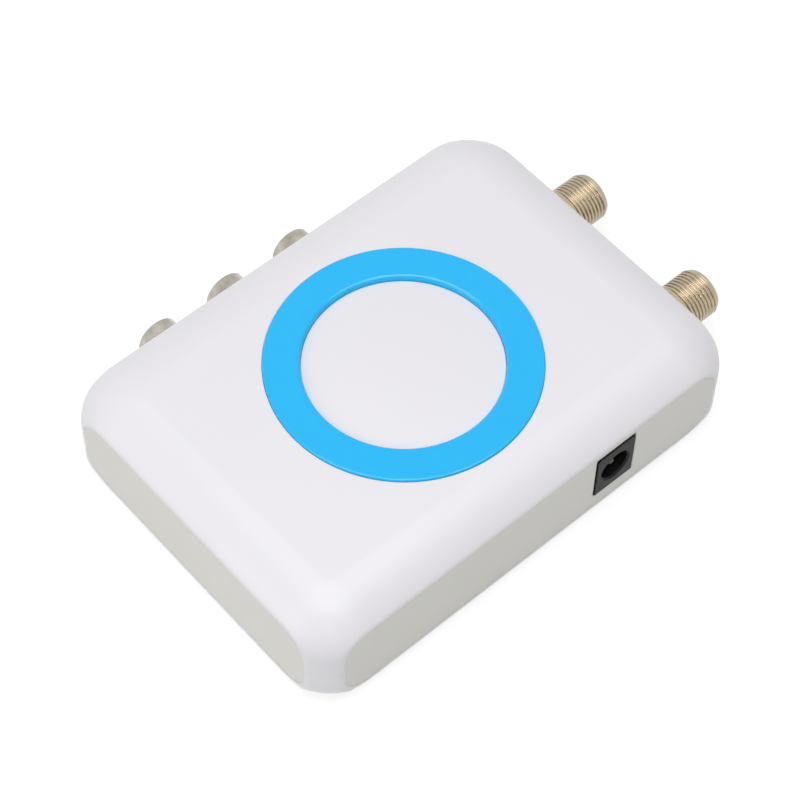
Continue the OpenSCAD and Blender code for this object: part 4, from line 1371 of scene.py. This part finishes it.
class BuildStage(bpy.types.Operator):
    """Builds the floor, the lamps, the sky and the camera"""

    bl_idname = "modulator.stage"
    bl_label = "Stage"

    def execute(self, context):
        scene = context.scene
        light = scene.modulator_stage
        scene.view_settings.view_transform = "Standard"

        shape = Shape()
        rim = shape.row(around("z", CENTRE, FLOOR_R, 0, FLOOR_SIDES))
        shape.faces.append(tuple(rim))
        floor = bpy.data.objects.new("floor", shape.mesh("floor"))
        scene.collection.objects.link(floor)
        floor.data.materials.append(pale_floor())

        world = bpy.data.worlds.new("studio_sky")
        scene.world = world
        world.use_nodes = True
        tree = world.node_tree
        tree.nodes.clear()
        strength = add(tree, RANGE, seen_straight(tree), 0, 1, light.sky, 1)
        sky = add(tree, "ShaderNodeBackground", linear(WHITE), strength)
        add(tree, "ShaderNodeOutputWorld", sky)

        for name, place, size, setting in LAMPS:
            lamp = bpy.data.lights.new(name, "AREA")
            lamp.shape, lamp.size = "DISK", size
            lamp.energy = getattr(light, setting)
            holder = bpy.data.objects.new(name, lamp)
            holder.location = place
            away = Vector(place) - Vector(LAMP_AIM)
            holder.rotation_mode = "QUATERNION"
            holder.rotation_quaternion = away.to_track_quat("Z", "Y")
            scene.collection.objects.link(holder)

        a, e, roll = map(math.radians, (CAMERA_TURN, CAMERA_RISE, CAMERA_ROLL))
        level = math.cos(e)
        back = Vector((math.sin(a) * level, -math.cos(a) * level, math.sin(e)))
        right = Vector((math.cos(a), math.sin(a), 0))
        up = back.cross(right)
        right, up = (
            right * math.cos(roll) + up * math.sin(roll),
            up * math.cos(roll) - right * math.sin(roll),
        )
        lens = bpy.data.cameras.new("camera")
        lens.sensor_width = SENSOR
        lens.lens = FOCAL_PIXELS / PICTURE_PIXELS * SENSOR
        camera = bpy.data.objects.new("camera", lens)
        place = Vector(CAMERA_AIM) * MM + back * (CAMERA_FAR * MM)
        way = Matrix((right, up, back)).transposed().to_4x4()
        camera.matrix_world = Matrix.Translation(place) @ way
        scene.collection.objects.link(camera)
        scene.camera = camera
        return {"FINISHED"}


BUILDERS = (
    BuildStage,
    BuildCovers,
    BuildPanels,
    BuildRing,
    BuildAerialJacks,
    BuildPhonoJacks,
    BuildPowerJack,
    BuildSwitch,
    BuildScrews,
    PaintInside,
)


class ModulatorPanel(bpy.types.Panel):
    """Lists the builders and their settings"""

    bl_idname = "VIEW3D_PT_modulator"
    bl_label = "Modulator"
    bl_space_type = "VIEW_3D"
    bl_region_type = "UI"
    bl_category = "Modulator"

    def draw(self, context):
        for group in ("modulator_case", "modulator_jacks", "modulator_stage"):
            settings = getattr(context.scene, group)
            box = self.layout.box()
            for key in settings.bl_rna.properties.keys():
                if key not in ("rna_type", "name"):
                    box.prop(settings, key)
        for builder in BUILDERS:
            self.layout.operator(builder.bl_idname)


GROUPS = {
    "modulator_case": CaseSettings,
    "modulator_jacks": JackSettings,
    "modulator_stage": StageSettings,
}


def register():
    for made in (*GROUPS.values(), *BUILDERS, ModulatorPanel):
        bpy.utils.register_class(made)
    for name, group in GROUPS.items():
        setattr(bpy.types.Scene, name, bpy.props.PointerProperty(type=group))


def unregister():
    for name in GROUPS:
        delattr(bpy.types.Scene, name)
    for made in reversed((*GROUPS.values(), *BUILDERS, ModulatorPanel)):
        bpy.utils.unregister_class(made)


def main():
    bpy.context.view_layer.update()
    register()
    for builder in BUILDERS:
        getattr(bpy.ops.modulator, builder.bl_idname.split(".")[1])()


if __name__ == "__main__":
    main()
